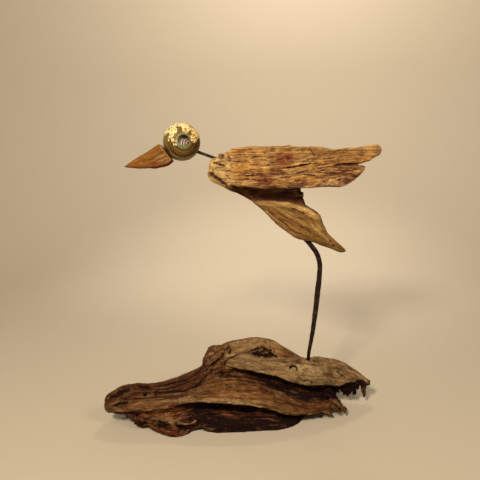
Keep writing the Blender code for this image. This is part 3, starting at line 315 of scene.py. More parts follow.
# The same on the beak
BEAK_TONES = [
    ([(-130, 14, 436), (-121, 13, 442), (-113, 13, 446), (-106, 16, 449)], 1.5, -0.9, 0.35, 0.3, 0.0),
    ([(-131, 15, 444), (-120, 14, 450), (-113, 15, 457)], 1.6, -0.8, 0.30, 0.3, 0.0),
    ([(-128, 14, 433), (-117, 13, 439), (-106, 14, 443)], 1.4, 0.6, -0.2, 0.0, 0.5),
    ([(-150, 18, 441), (-132, 17, 450), (-122, 17, 456)], 1.5, -0.6, 0.25, 0.2, 0.0),
    ([(-160, 19, 430), (-140, 17, 434), (-124, 15, 437)], 1.4, -0.5, 0.20, 0.3, 0.0),
]
# The leg and the neck's line, in mm in the part's frame, with the radius at each point
LEG = [(119.2, 15, 48.4, 3.0), (119.2, 15, 61.4, 3.0), (119.6, 15, 75.4, 3.0), (120.5, 15, 87.4, 3.0),
       (122.5, 16, 102.4, 3.2), (125.2, 17, 117.4, 3.6), (128.2, 18, 135.4, 3.9), (130.4, 19, 153.4, 4.2),
       (132.6, 20, 171.4, 4.5), (134.7, 21, 190.4, 4.7), (136.2, 21, 208.4, 4.7), (138.2, 21, 226.4, 4.5),
       (139.1, 21, 244.4, 4.3), (138.9, 21, 253.4, 4.2), (137.6, 21, 261.9, 4.2), (134.6, 21, 270.9, 4.2),
       (129.9, 21, 279.4, 4.2), (123.4, 21, 288, 4.2), (117.4, 21, 295.4, 4.2), (105, 21, 311, 4.1)]
NECK = [(-66.4, 21, 449.7, 2.45), (-55.2, 21, 445.3, 2.5), (-42.6, 21, 440.4, 2.45), (-30, 21, 435.4, 2.5),
        (-19, 21, 431, 2.4)]
# The ball
BALL_AT = Vector((-81.3, 21.0, 461.7))
BALL_R, BORE_R = 29.5, 8.5
BORE_AXIS = Vector((0.237, -0.96, 0.139)).normalized()
BEAK_SEAT = Vector((-0.818, 0.0, -0.575)).normalized()
EYE_AT = BALL_AT + BORE_AXIS * 21.5
# The camera's place and turn
SPARE = 2.5                         # mm that a carved piece may stand proud of its own node's box
CAMERA_AT = Vector((0.0060, -0.749, 0.4994))
PITCH, ROLL = math.radians(14.5), math.radians(1.6)


# Numbers that look random but are the same each time
def lattice(p, seed):
    cell = np.floor(p).astype(np.int64)
    part = p - cell
    part = part ** 3 * (part * (part * 6 - 15) + 10)
    total = np.zeros(len(p))
    for corner in product((0, 1), repeat=3):
        key = ((cell + corner) @ np.array([73856093, 19349663, 83492791]) + seed * 97531) & 0x7FFFFFFF
        key = ((key ^ (key >> 13)) * 1274126177) & 0x7FFFFFFF
        key = ((key ^ (key >> 15)) * 668265263) & 0x7FFFFFFF
        total += ((key >> 8) / 4194303.5 - 1) * np.prod(np.where(corner, part, 1 - part), axis=1)
    return total


def cloud(p, seed, octaves=3):
    """Soft noise, about -1 to 1."""
    return sum(lattice(p * 2 ** i + 17.3 * i, seed + i) * 0.5 ** i for i in range(octaves)) / 1.4


def furrows(grain, along, across, seed, width=0.30):
    """1 in the bottom of narrow furrows that run with the grain, and 0 between them."""
    n = cloud(grain * np.array((along, across, across)), seed)
    return np.clip(1 - np.abs(n) / width, 0, 1)


def step(value, low, high):
    t = np.clip((value - low) / (high - low), 0, 1)
    return t * t * (3 - 2 * t)


def band(value, low, high, soft):
    return step(value, low - soft, low + soft) * (1 - step(value, high - soft, high + soft))


def patch(points, middle, reach):
    """1 in the middle of a soft patch, 0 outside it."""
    far = np.linalg.norm((points - np.array(middle)) / np.array(reach), axis=1)
    return 1 - step(far, 0.55, 1.15)


def off_line(points, line):
    """How far each point is from a line, and how far along the line that is, 0 to 1."""
    line = np.array(line, float)
    best, share = np.full(len(points), 1e9), np.zeros(len(points))
    for i, (a, b) in enumerate(zip(line, line[1:])):
        run = b - a
        t = np.clip((points - a) @ run / (run @ run), 0, 1)
        off = np.linalg.norm(points - a - t[:, None] * run, axis=1)
        share = np.where(off < best, (i + t) / (len(line) - 1), share)
        best = np.minimum(off, best)
    return best, share


def carve(points, cracks, seed):
    """How deep, in mm, a list of cracks cuts in at each point."""
    deep = np.zeros(len(points))
    wander = cloud(points * 0.22, seed, 2)
    ragged = cloud(points * 0.5, seed + 5, 2)
    for line, half, depth in cracks:
        off, share = off_line(points, line)
        reach = half * (0.8 + 0.55 * wander + 0.35 * ragged) * np.minimum(
            1, 5 * np.minimum(share, 1 - share) + 0.35)
        deep = np.maximum(deep, depth * np.clip(1 - off / np.maximum(reach, 0.3), 0, 1) ** 0.7)
    return deep


def face_on(points):
    """Points with their depth from the front cut to less than half, so that marks there lie on the skin."""
    points = np.asarray(points, float)
    ahead = np.array((0, math.cos(PITCH), -math.sin(PITCH)))
    return points - 0.6 * (points @ ahead)[..., None] * ahead


def drawn(points, lines, seed):
    """What a list of drawn lines adds at each point: mm of rise, then how much darker, redder and paler."""
    total = np.zeros((4, len(points)))
    points = face_on(points)
    wander = 1 + 0.35 * cloud(points * 0.18, seed, 2)
    for line, half, *amounts in lines:
        off, share = off_line(points, face_on(line))
        near = (1 - step(off * wander, 0.35 * half, 1.25 * half)) * step(np.minimum(share, 1 - share), -0.08, 0.16)
        total += np.array(amounts, float)[:, None] * near
    return total


def between(points, upper, lower):
    """How far each point is from an upper line towards a lower one, 0 to 1, seen from the side."""
    flat = points * (1, 0, 1)
    to_upper = off_line(flat, [(x, 0, z) for x, z in upper])[0]
    to_lower = off_line(flat, [(x, 0, z) for x, z in lower])[0]
    return to_upper / (to_upper + to_lower)


def round_section(points, places, lines):
    """Where each point lies round the section, as a number of guide lines, and how far off the lines it is."""
    x = points[:, 0]
    rings = np.array([[np.interp(x, places, [p[k] for p in line]) for k in (0, 1)] for line in lines])
    after = np.roll(rings, -1, 0) - rings
    to = points[:, 1:].T[None] - rings
    t = np.clip((after * to).sum(1) / (after * after).sum(1), 0, 1)
    off = np.sqrt(((to - after * t[:, None]) ** 2).sum(1))
    nearest = off.argmin(0)
    row = np.arange(len(points))
    return nearest + t[nearest, row], off[nearest, row]


def straighten(points, by, lines, at):
    """Coordinates in mm in which the lines of the grain are straight: along x, then across the section."""
    ring = np.array([line[at] for line in lines], float)
    i = by.astype(int) % len(ring)
    t = (by % 1)[:, None]
    return np.column_stack([points[:, 0], ring[i] * (1 - t) + ring[(i + 1) % len(ring)] * t])


# Meshes
def read(mesh, what="co"):
    values = np.zeros(len(mesh.vertices) * 3, np.float32)
    mesh.vertices.foreach_get(what, values)
    values = values.reshape(-1, 3).astype(float)
    return values * 1000 if what == "co" else values


def write(mesh, points):
    mesh.vertices.foreach_set("co", (points / 1000).astype(np.float32).ravel())
    mesh.update()


def keep(mesh, name, values):
    """A number, or three, for each vertex, that the materials read."""
    kind, field = ("FLOAT", "value") if values.ndim == 1 else ("FLOAT_VECTOR", "vector")
    made = mesh.attributes.new(name, kind, "POINT")
    made.data.foreach_set(field, values.astype(np.float32).ravel())


def settle(obj):
    """Puts what the modifiers make in the object's own mesh and drops the modifiers."""
    graph = bpy.context.evaluated_depsgraph_get()
    made = bpy.data.meshes.new_from_object(obj.evaluated_get(graph), preserve_all_data_layers=True, depsgraph=graph)
    obj.modifiers.clear()
    obj.data = made
    return obj


def new_object(name, mesh):
    obj = bpy.data.objects.new(name, mesh)
    bpy.context.scene.collection.objects.link(obj)
    return obj


def thin_out(obj, faces):
    """Drops the points that the shape can spare until about this many triangles are left."""
    have = sum(len(f.vertices) - 2 for f in obj.data.polygons)
    if have > faces:
        fewer = obj.modifiers.new("thin", "DECIMATE")
        fewer.ratio = faces / have
        settle(obj)
    return obj.data


def skin_of(name, node, voxel, rounds):
    """A fine, even skin over a copy of a CAD node."""
    obj = new_object(name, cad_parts[node].data.copy())
    obj.data.materials.clear()
    merged = bmesh.new()
    merged.from_mesh(obj.data)
    bmesh.ops.remove_doubles(merged, verts=merged.verts, dist=0.00001)
    merged.to_mesh(obj.data)
    merged.free()
    for layer in list(obj.data.uv_layers):
        obj.data.uv_layers.remove(layer)
    remesh = obj.modifiers.new("skin", "REMESH")
    remesh.mode = "VOXEL"
    remesh.voxel_size = voxel
    smooth = obj.modifiers.new("smooth", "SMOOTH")
    smooth.factor, smooth.iterations = 0.5, rounds
    return settle(obj)


def hand_over(obj, slot, look, *nodes):
    """Gives a finished piece its look, and puts it in the place of its CAD nodes."""
    low = np.array([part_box(n)[0] for n in nodes]).min(0) * 1000
    high = np.array([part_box(n)[1] for n in nodes]).max(0) * 1000
    low = np.maximum(low - SPARE, np.array(CAD_BOX[0]) * 1000)
    high = np.minimum(high + SPARE, np.array(CAD_BOX[1]) * 1000)
    write(obj.data, np.clip(read(obj.data), low, high))
    obj.data.materials.clear()
    obj.data.materials.append(look)
    obj.data.shade_smooth()
    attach(obj, "root")
    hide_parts(*nodes)
    return obj


# Node trees
def add(tree, kind, inputs=None, **settings):
    """A node with its settings, whose inputs are sockets to link or plain values."""
    made = tree.nodes.new(kind)
    for name, value in settings.items():
        setattr(made, name, value)
    for name, value in (inputs or {}).items():
        if isinstance(value, bpy.types.NodeSocket):
            tree.links.new(value, made.inputs[name])
        else:
            made.inputs[name].default_value = value
    return made


def geometry_tree(name, sockets):
    """An empty Geometry Nodes tree with named inputs, and its input and output nodes."""
    tree = bpy.data.node_groups.new(name, "GeometryNodeTree")
    tree.interface.new_socket("Geometry", in_out="INPUT", socket_type="NodeSocketGeometry")
    for label, kind, default in sockets:
        socket = tree.interface.new_socket(label, in_out="INPUT", socket_type="NodeSocket" + kind)
        if default is not None:
            socket.default_value = default
    tree.interface.new_socket("Geometry", in_out="OUTPUT", socket_type="NodeSocketGeometry")
    return tree, tree.nodes.new("NodeGroupInput"), tree.nodes.new("NodeGroupOutput")


def run_tree(obj, tree, values):
    """Runs a tree on an object with values for its named inputs, and settles the result."""
    modifier = obj.modifiers.new(tree.name, "NODES")
    modifier.node_group = tree
    for item in tree.interface.items_tree:
        if item.in_out == "INPUT" and item.name in values:
            modifier[item.identifier] = values[item.name]
    return settle(obj)


def mix(tree, share, a, b):
    """A colour between a and b."""
    made = add(tree, "ShaderNodeMix", data_type="RGBA")
    for socket, value in ((made.inputs[0], share), (made.inputs[6], a), (made.inputs[7], b)):
        if isinstance(value, bpy.types.NodeSocket):
            tree.links.new(value, socket)
        else:
            socket.default_value = value if isinstance(value, float) else (*value[:3], 1.0)
    return made.outputs[2]


def math_node(tree, operation, a, b=0.0, clamp=False):
    return add(tree, "ShaderNodeMath", {0: a, 1: b}, operation=operation, use_clamp=clamp).outputs[0]


def ramp(tree, value, low, high):
    """0 below low and 1 above high, or the other way round."""
    made = add(tree, "ShaderNodeMapRange", {0: value, 1: low, 2: high}, interpolation_type="SMOOTHSTEP")
    return made.outputs[0]


def streaks(tree, grain, along, across, detail=4.0, rough=0.55, shift=0.0):
    """Noise drawn out along the grain."""
    scaled = add(tree, "ShaderNodeVectorMath", {0: grain, 1: (along, across, across)}, operation="MULTIPLY")
    moved = add(tree, "ShaderNodeVectorMath", {0: scaled.outputs[0], 1: (shift, shift, shift)})
    noise = add(tree, "ShaderNodeTexNoise", {"Vector": moved.outputs[0], "Scale": 1.0, "Detail": detail,
                                             "Roughness": rough})
    return noise.outputs["Fac"]


def new_material(name):
    look = bpy.data.materials.new(name)
    look.use_nodes = True
    return look, look.node_tree, look.node_tree.nodes["Principled BSDF"]


def attribute(tree, name):
    made = add(tree, "ShaderNodeAttribute", attribute_name=name)
    return made.outputs["Vector"], made.outputs["Fac"]


def wood_look(name, main, pale, red, dark, flecks=0.35, relief=1.0, fine=1.0, sheen=0.72, bend=6.0,
              blotches=1.0, lined=1.0):
    """Weathered wood: the tones are laid by the piece's own attributes, the streaks follow its grain."""
    look, tree, shader = new_material(name)
    straight = attribute(tree, "grain")[0]
    swirl = add(tree, "ShaderNodeTexNoise", {"Vector": straight, "Scale": 0.10, "Detail": 2.0}).outputs["Color"]
    swirl = add(tree, "ShaderNodeVectorMath", {0: swirl, 1: (0.5, 0.5, 0.5)}, operation="SUBTRACT").outputs[0]
    swirl = add(tree, "ShaderNodeVectorMath", {0: swirl, "Scale": bend}, operation="SCALE").outputs[0]
    grain = add(tree, "ShaderNodeVectorMath", {0: straight, 1: swirl}).outputs[0]
    broad = streaks(tree, grain, 0.022, 0.13 * fine, 5.0, 0.6)
    strand = streaks(tree, grain, 0.050, 0.32 * fine, 4.0, 0.6, 113.0)
    thin = streaks(tree, grain, 0.100, 0.75 * fine, 4.0, 0.62, 31.0)
    hair = streaks(tree, grain, 0.30, 2.2 * fine, 3.0, 0.6, 57.0)
    dash = streaks(tree, grain, 0.120, 0.62 * fine, 3.0, 0.5, 83.0)
    spots = add(tree, "ShaderNodeTexNoise", {"Vector": grain, "Scale": 0.06, "Detail": 4.0}).outputs["Fac"]
    pores = add(tree, "ShaderNodeTexNoise", {"Vector": straight, "Scale": 1.3, "Detail": 3.0}).outputs["Fac"]
    blotch = streaks(tree, grain, 0.045, 0.085, 3.0, 0.55, 140.0)
    split = math_node(tree, "SUBTRACT", streaks(tree, grain, 0.014, 0.105 * fine, 3.0, 0.6, 200.0), 0.5)
    split = ramp(tree, math_node(tree, "ABSOLUTE", split), 0.034, 0.010)
    split = math_node(tree, "MULTIPLY", split, ramp(tree, spots, 0.42, 0.56))
    quiet = math_node(tree, "SUBTRACT", 1.0, math_node(tree, "MULTIPLY", attribute(tree, "pale")[1], 0.8), clamp=True)
    quiet = math_node(tree, "MULTIPLY", quiet, lined)
    split = math_node(tree, "MULTIPLY", split, quiet)

    def toned(tone):
        """A colour that goes darker and warmer from strand to strand."""
        deeper = [tone[0] * 0.46, tone[1] * 0.34, tone[2] * 0.26]
        first = mix(tree, ramp(tree, broad, 0.34, 0.66), [c * 1.12 for c in tone], [c * 0.72 for c in tone])
        return mix(tree, math_node(tree, "MULTIPLY", ramp(tree, strand, 0.49, 0.63), 0.4 + 0.6 * lined), first, deeper)

    colour = toned(main)
    colour = mix(tree, attribute(tree, "pale")[1], colour, toned(pale))
    colour = mix(tree, attribute(tree, "red")[1], colour, toned(red))
    light = math_node(tree, "MULTIPLY", ramp(tree, thin, 0.50, 0.74), 0.30)
    colour = mix(tree, light, colour, [min(1.0, c * 1.25 + 0.01) for c in pale])
    lines = math_node(tree, "MULTIPLY", ramp(tree, thin, 0.47, 0.33), 0.25 + 0.45 * lined)
    colour = mix(tree, lines, colour, dark)
    dashes = math_node(tree, "MULTIPLY", ramp(tree, dash, 0.56, 0.65), flecks)
    dashes = math_node(tree, "MULTIPLY", dashes, math_node(tree, "MULTIPLY", quiet, ramp(tree, spots, 0.40, 0.58)))
    colour = mix(tree, dashes, colour, dark)
    hairs = math_node(tree, "MULTIPLY", ramp(tree, hair, 0.50, 0.34), 0.45)
    colour = mix(tree, hairs, colour, dark)
    broken = math_node(tree, "ADD", 0.45, math_node(tree, "MULTIPLY", ramp(tree, strand, 0.30, 0.62), 0.9))
    colour = mix(tree, math_node(tree, "MULTIPLY", split, 0.8), colour, [c * 1.5 for c in dark])
    stained = math_node(tree, "MULTIPLY", ramp(tree, blotch, 0.50, 0.68), 0.45 * blotches)
    colour = mix(tree, stained, colour, [c * 0.30 for c in main])
    bright = math_node(tree, "MULTIPLY", ramp(tree, blotch, 0.48, 0.32), 0.25 * blotches)
    colour = mix(tree, bright, colour, [min(1.0, c * 1.2) for c in pale])
    colour = mix(tree, math_node(tree, "MULTIPLY", ramp(tree, pores, 0.55, 0.72), 0.5), colour, dark)
    # The dark attribute carries dark cracks and stains as well as the painted shade that each maker lays.
    deep = math_node(tree, "MULTIPLY", attribute(tree, "dark")[1], broken, clamp=True)
    colour = mix(tree, deep, colour, dark)
    tree.links.new(colour, shader.inputs["Base Color"])
    rough = math_node(tree, "ADD", math_node(tree, "MULTIPLY", thin, 0.25), sheen - 0.12)
    tree.links.new(rough, shader.inputs["Roughness"])
    shader.inputs["Specular IOR Level"].default_value = 0.05
    height = math_node(tree, "ADD", thin, math_node(tree, "MULTIPLY", hair, 0.45))
    height = math_node(tree, "ADD", height, math_node(tree, "MULTIPLY", strand, 0.8))
    height = math_node(tree, "ADD", height, math_node(tree, "MULTIPLY", pores, -0.35))
    height = math_node(tree, "SUBTRACT", height, math_node(tree, "MULTIPLY", dashes, 0.9))
    height = math_node(tree, "SUBTRACT", height, math_node(tree, "MULTIPLY", split, 0.9))
    bump = add(tree, "ShaderNodeBump", {"Strength": 1.0, "Distance": 0.0014 * relief, "Height": height})
    tree.links.new(bump.outputs[0], shader.inputs["Normal"])
    return look


def iron_look(name, colour, rust, share):
    """Forged iron with brown oxide, or rusted through."""
    look, tree, shader = new_material(name)
    place = add(tree, "ShaderNodeTexCoord").outputs["Object"]
    cloudy = add(tree, "ShaderNodeTexNoise", {"Vector": place, "Scale": 160.0, "Detail": 6.0, "Roughness": 0.7})
    grit = add(tree, "ShaderNodeTexNoise", {"Vector": place, "Scale": 900.0, "Detail": 3.0})
    worn = ramp(tree, cloudy.outputs["Fac"], 0.62 - 0.3 * share, 0.78 - 0.3 * share)
    tree.links.new(mix(tree, worn, colour, rust), shader.inputs["Base Color"])
    tree.links.new(math_node(tree, "SUBTRACT", 0.75, math_node(tree, "MULTIPLY", worn, 0.7), clamp=True),
                   shader.inputs["Metallic"])
    rough = math_node(tree, "ADD", math_node(tree, "MULTIPLY", cloudy.outputs["Fac"], 0.35), 0.26 + 0.22 * share)
    shader.inputs["Specular IOR Level"].default_value = 0.5 - 0.25 * share
    tree.links.new(rough, shader.inputs["Roughness"])
    height = math_node(tree, "ADD", math_node(tree, "MULTIPLY", grit.outputs["Fac"], 0.4), cloudy.outputs["Fac"])
    bump = add(tree, "ShaderNodeBump", {"Strength": 0.7, "Distance": 0.0006, "Height": height})
    tree.links.new(bump.outputs[0], shader.inputs["Normal"])
    return look


def colour_prop(label, text, default):
    return FloatVectorProperty(name=label, description=text, subtype="COLOR", size=3, min=0, max=1, default=default)


def length_prop(label, text, default):
    return FloatProperty(name=label, description=text, default=default, min=0, unit="LENGTH", precision=5)


class RootSettings(bpy.types.PropertyGroup):
    skin: length_prop("Skin", "Size of the faces that the root is carved from", 0.00115)
    furrow: length_prop("Furrows", "Depth of the furrows where the wood is most weathered", 0.0022)
    splinter: length_prop("Splinters", "Length of the longest splinters", 0.0085)
    seed: IntProperty(name="Seed", description="Changes where the splinters stand", default=4)
    golden: colour_prop("Golden", "Colour of the weathered crest and shelf", (0.207, 0.083, 0.025))
    pale: colour_prop("Pale", "Colour of the bleached slab", (0.354, 0.249, 0.125))
    red: colour_prop("Red brown", "Colour of the knob and of fresh breaks", (0.145, 0.040, 0.014))
    # The dark colour is also what the painted shade under the shelves and in the furrows mixes to.
    dark: colour_prop("Dark", "Colour in cracks and under the shelves", (0.0115, 0.0047, 0.0044))


class BirdSettings(bpy.types.PropertyGroup):
    skin: length_prop("Skin", "Size of the faces that planks and body are carved from", 0.00075)
    furrow: length_prop("Furrows", "Depth of the furrows in the planks", 0.0012)
    ochre: colour_prop("Ochre", "Main colour of the wings", (0.505, 0.255, 0.068))
    # Straw is also the colour of the painted highlight on ridge tops and of the painted light below the tail's ledge.
    straw: colour_prop("Straw", "Colour of bleached ends and ridges", (0.78, 0.55, 0.23))
    stain: colour_prop("Stain", "Colour of iron stains in the wood", (0.28, 0.055, 0.018))
    purple: colour_prop("Purple brown", "Colour in the wings' cracks", (0.072, 0.026, 0.020))
    olive: colour_prop("Olive", "Main colour of the tail", (0.285, 0.160, 0.037))
    orange: colour_prop("Orange", "Main colour of the beak", (0.212, 0.103, 0.018))


class IronSettings(bpy.types.PropertyGroup):
    hammer: length_prop("Hammer marks", "Depth of the hammer marks on the rods", 0.00035)
    sides: IntProperty(name="Sides", description="Faces round a rod", default=28, min=6)
    black: colour_prop("Black", "Colour of the forged iron", (0.020, 0.012, 0.010))
    rust: colour_prop("Rust", "Colour of its oxide", (0.10, 0.038, 0.018))
    nail: colour_prop("Nail rust", "Colour of the rusted nails", (0.075, 0.016, 0.008))


class HeadSettings(bpy.types.PropertyGroup):
    flakes: FloatProperty(name="Flakes", description="How many flakes of crust stand on the ball", default=1.0)
    seed: IntProperty(name="Seed", description="Changes where the flakes stand", default=7)
    olive: colour_prop("Olive", "Colour of the ball", (0.138, 0.088, 0.019))
    # Lime is also the colour of the painted reflection on the ball's left edge.
    lime: colour_prop("Lime", "Colour of its paler ring", (0.165, 0.190, 0.090))
    # Brown is also what the painted shade on the ball's lower half and by the beak mixes to.
    brown: colour_prop("Brown", "Colour of its stains", (0.074, 0.032, 0.009))
    cream: colour_prop("Cream", "Colour of the crust", (0.95, 0.92, 0.68))
    peach: colour_prop("Peach", "Colour of the crust on the right", (0.92, 0.70, 0.38))
    mauve: colour_prop("Mauve grey", "Colour inside the eye", (0.27, 0.215, 0.205))


class StageSettings(bpy.types.PropertyGroup):
    floor: colour_prop("Floor", "Colour of the floor", (0.422, 0.386, 0.330))
    key: FloatProperty(name="Key", description="Power of the main lamp", default=28.0, unit="POWER")
    side: FloatProperty(name="Side", description="Power of the second lamp", default=7.0, unit="POWER")
    wall: FloatProperty(name="Wall", description="Power of the lamp on the backdrop", default=16.0, unit="POWER")
    halo: FloatProperty(name="Halo", description="Power of the lamp on the floor behind the root", default=46.0,
                        unit="POWER")
    sky: FloatProperty(name="Sky", description="Strength of the light from all round", default=0.16)


class Maker(bpy.types.Operator):
    """A base operator meant for makers of pieces, which none of the makers below uses"""
    bl_idname = "driftwood.base"
    bl_label = "Driftwood piece"
    bl_options = {"REGISTER", "UNDO"}


class MakeRoot(bpy.types.Operator):
    """Carve the root that the bird stands in"""
    bl_idname = "driftwood.root"
    bl_label = "Root"

    def execute(self, context):
        use = context.scene.driftwood_root
        obj = skin_of("root_wood", "base_driftwood", use.skin, 3)
        mesh = obj.data
        p, n = read(mesh), read(mesh, "normal")
        by, off = round_section(p, ROOT_X, ROOT_LINES)
        slab_by, slab_off = round_section(p, SLAB_X, SLAB_LINES)
        slab = step(off - slab_off, -1.0, 1.5) * step(p[:, 0], -30, -18)
        grain = straighten(p, by, ROOT_LINES, 5)
        over = slab > 0.5
        grain[over] = straighten(p, slab_by, SLAB_LINES, 2)[over] + 300
        knob = patch(p, (-41, 1, 91), (30, 31, 28)) * (1 - slab)
        turned = np.column_stack([p @ (0.84, 0, 0.54), p @ (-0.54, 0, 0.84), p[:, 1]]) + 90
        grain[knob > 0.5] = turned[knob > 0.5]
        for freq, size, seed in ((0.02, 4.0, 3), (0.07, 1.6, 4)):
            wave = cloud(p * freq, seed, 2)
            grain[:, 1] += size * wave
            grain[:, 2] -= size * 0.7 * wave
        by = by + 0.22 * cloud(p * 0.05, 81, 2) + 0.10 * cloud(p * 0.2, 82, 2)

        arm = step(-p[:, 0], 40, 75) * (1 - slab)
        top = np.clip(band(by, -0.5, 2.6, 0.4) + band(by, 12.6, 14.5, 0.4), 0, 1)
        red_band = band(by, 1.1, 3.0, 0.25) * step(p[:, 0], -52, -30) * (1 - slab)
        shelf = band(by, 3.0, 5.15, 0.2) * (1 - slab)
        under = band(by, 5.25, 6.9, 0.25) * (1 - slab)
        low = band(by, 6.6, 10.2, 0.3) * (1 - slab)
        back = band(by, 10.0, 12.8, 0.4) * (1 - slab)
        under_slab = np.interp(p[:, 0], (150, 169, 176, 183, 193, 202, 212, 220, 229), (36, 43, 48, 51, 50, 48.5, 45, 38, 34))
        end = step(p[:, 0], 150, 172) * step(under_slab - p[:, 2], -1.5, 2.5)
        wild = np.clip(0.22 + 0.5 * arm * top + 0.75 * knob + 0.5 * red_band + 0.6 * under + 0.65 * low
                       + 0.3 * back + 0.8 * end + 0.22 * shelf + 0.05 * slab + 0.2 * cloud(p * 0.03, 83, 2), 0.05, 1)
        wide = furrows(grain, 0.014, 0.14, 11)
        fine = furrows(grain, 0.034, 0.36, 21)
        thin = furrows(grain, 0.070, 0.62, 25, 0.22)
        lumps = cloud(grain * (0.030, 0.11, 0.11), 31) + 0.35 * cloud(p * 0.28, 33, 2)
        deep = use.furrow * 1000 * ((0.10 + 0.9 * wild) * wide + (0.12 + 0.55 * wild) * fine)
        deep += use.furrow * 1000 * (0.15 + 0.35 * wild) * thin + (0.45 + 0.8 * wild) * (1 + lumps)
        unrolled = np.column_stack([p[:, 0], np.zeros(len(p)), 36 * by])
        behind = step(p[:, 1], -10, 6) * (1 - slab)
        tones = drawn(p, ROOT_TONES, 91) + behind * drawn(unrolled, BACK_TONES, 93)
        deep -= tones[0] + 2.2 * patch(p, (20, 10, 118), (90, 30, 20)) * (1 - slab)
        deep -= (1.0 + 2.6 * step(p[:, 0], 90, 120)) * step(n[:, 2], 0.15, 0.6) * slab
        foot = patch(p, (119.6, 7, 89), (9, 11, 9))
        deep += 5.5 * foot
        facing = face_on(p)
        cracks = carve(facing, [(face_on(line), *size) for line, *size in ROOT_CRACKS], 41)
        splits = carve(facing, [(face_on(line), *size) for line, *size in SHELF_SPLITS], 43)
        splits = np.maximum(splits, behind * carve(unrolled, BACK_CRACKS, 47))
        hollow = patch(p, (41, -2, 104), (30, 12, 9.5)) * step(cloud(p * 0.30, 44, 2), -0.5, 0.4)
        worms = np.zeros(len(p))
        for middle in ((-157.0, -47.0, 61.5), (-140.0, -43.0, 60.5)):
            worms = np.maximum(worms, patch(p, middle, (3.6, 10.0, 3.0)))
        hole = np.maximum(patch(p, (-130, -68, 17), (8, 9, 5)), 0.8 * patch(p, (192, -8, 40), (24, 16, 7)))
        nibbled = end * (1 + cloud(p * 0.16, 45, 2)) + 0.7 * patch(p, (-172, -54, 18), (26, 20, 12))
        cut = np.maximum(np.maximum(cracks, splits), 2.2 * worms) + 3.0 * hole + 2.4 * hollow
        cut += 1.6 * nibbled * (1 + cloud(p * 0.22, 46, 2))
        leg_off = np.hypot(p[:, 0] - 119.6, p[:, 1] - 15)
        calm = step(p[:, 2], 0.3, 2.5) * (0.55 + 0.45 * step(leg_off, 5, 12))
        write(mesh, p - n * ((deep + cut - 0.9) * calm + 2.6 * foot)[:, None])

        # Painted shade and dirt: the bottoms of the furrows are darkened, partly as dirt and partly as the shade that
        # falls in them.
        crease_dirt_and_shade = 0.55 * wide * wild + 0.35 * fine * (0.3 + wild) + 0.3 * thin * (0.4 + wild)
        # Painted shade: the under and low bands darken the undercuts below the shelf. In the next line, end darkens
        # the place under the slab's broken end, partly as torn wood and partly as painted shade.
        shade = 0.80 * under * (1 - 0.8 * step(-p[:, 0], 80, 118)) + 1.15 * low * (1 - 0.85 * arm) + 0.15 * back + 0.14 * arm * top + 0.08 * red_band
        shade += 0.85 * end + 0.85 * np.clip(cut / 2.2, 0, 1) + 0.85 * crease_dirt_and_shade
        shade += 0.35 * patch(p, (-203, -52, 50), (22, 16, 15)) * step(cloud(p * 0.09, 51), 0.0, 0.4)
        # Painted shade on faces turned down. The flap's top is made lighter, here and by its pale patch further down,
        # partly as its own pale wood and partly as painted light.
        shade += 0.5 * step(-n[:, 2], 0.35, 0.85) - 0.35 * patch(p, (-100, -72, 27), (20, 8, 5))
        # The first patch makes the foot lump a little darker. Painted light: the slab is made darker towards its right
        # end here and lighter towards its left in the next line, a fall of light painted into its colour.
        shade += 0.16 * patch(p, (-122, -68, 14), (36, 22, 14)) + 0.12 * slab * step(p[:, 0], 105, 150)
        shade -= 0.12 * slab * step(-p[:, 0], -100, -60)
        # Painted contact shadow: a dark ring round the foot of the leg. tones[1] brings in the table rows, some of
        # which are painted shade.
        shade = shade + tones[1] + 0.5 * (1 - step(leg_off, 3.2, 6.5)) * step(p[:, 2], 60, 75)
        keep(mesh, "grain", grain)
        keep(mesh, "dark", np.clip(shade, 0, 1.25))
        red = 0.18 * knob + 0.75 * red_band + 0.75 * shelf * step(p[:, 0], 55, 110) + 0.6 * low + 0.9 * arm * top
        red += 0.6 * under * (1 - 0.5 * arm) + 0.28 * arm + tones[2]
        keep(mesh, "red", np.clip(red * (0.85 + 0.6 * cloud(grain * (0.02, 0.12, 0.12), 61)), 0, 1))
        pale = 0.95 * slab * (1 - 0.8 * band(slab_by, 2.6, 3.8, 0.3)) + 0.55 * knob + 0.22 * arm * (1 - under)
        # The band at 4.75 to 5.2 is a paler strip along the shelf's lower front edge: partly wear, partly painted
        # highlight.
        pale += 0.8 * patch(p, (-205, -40, 60), (28, 24, 16)) + 0.8 * band(by, 4.75, 5.2, 0.12) * (1 - slab)
        # The 0.9 patch is the flap's top: partly its own pale wood, partly painted light.
        pale += 0.55 * patch(p, (40, 10, 112), (70, 30, 22)) + 0.9 * patch(p, (-96, -71, 27), (18, 9, 4))
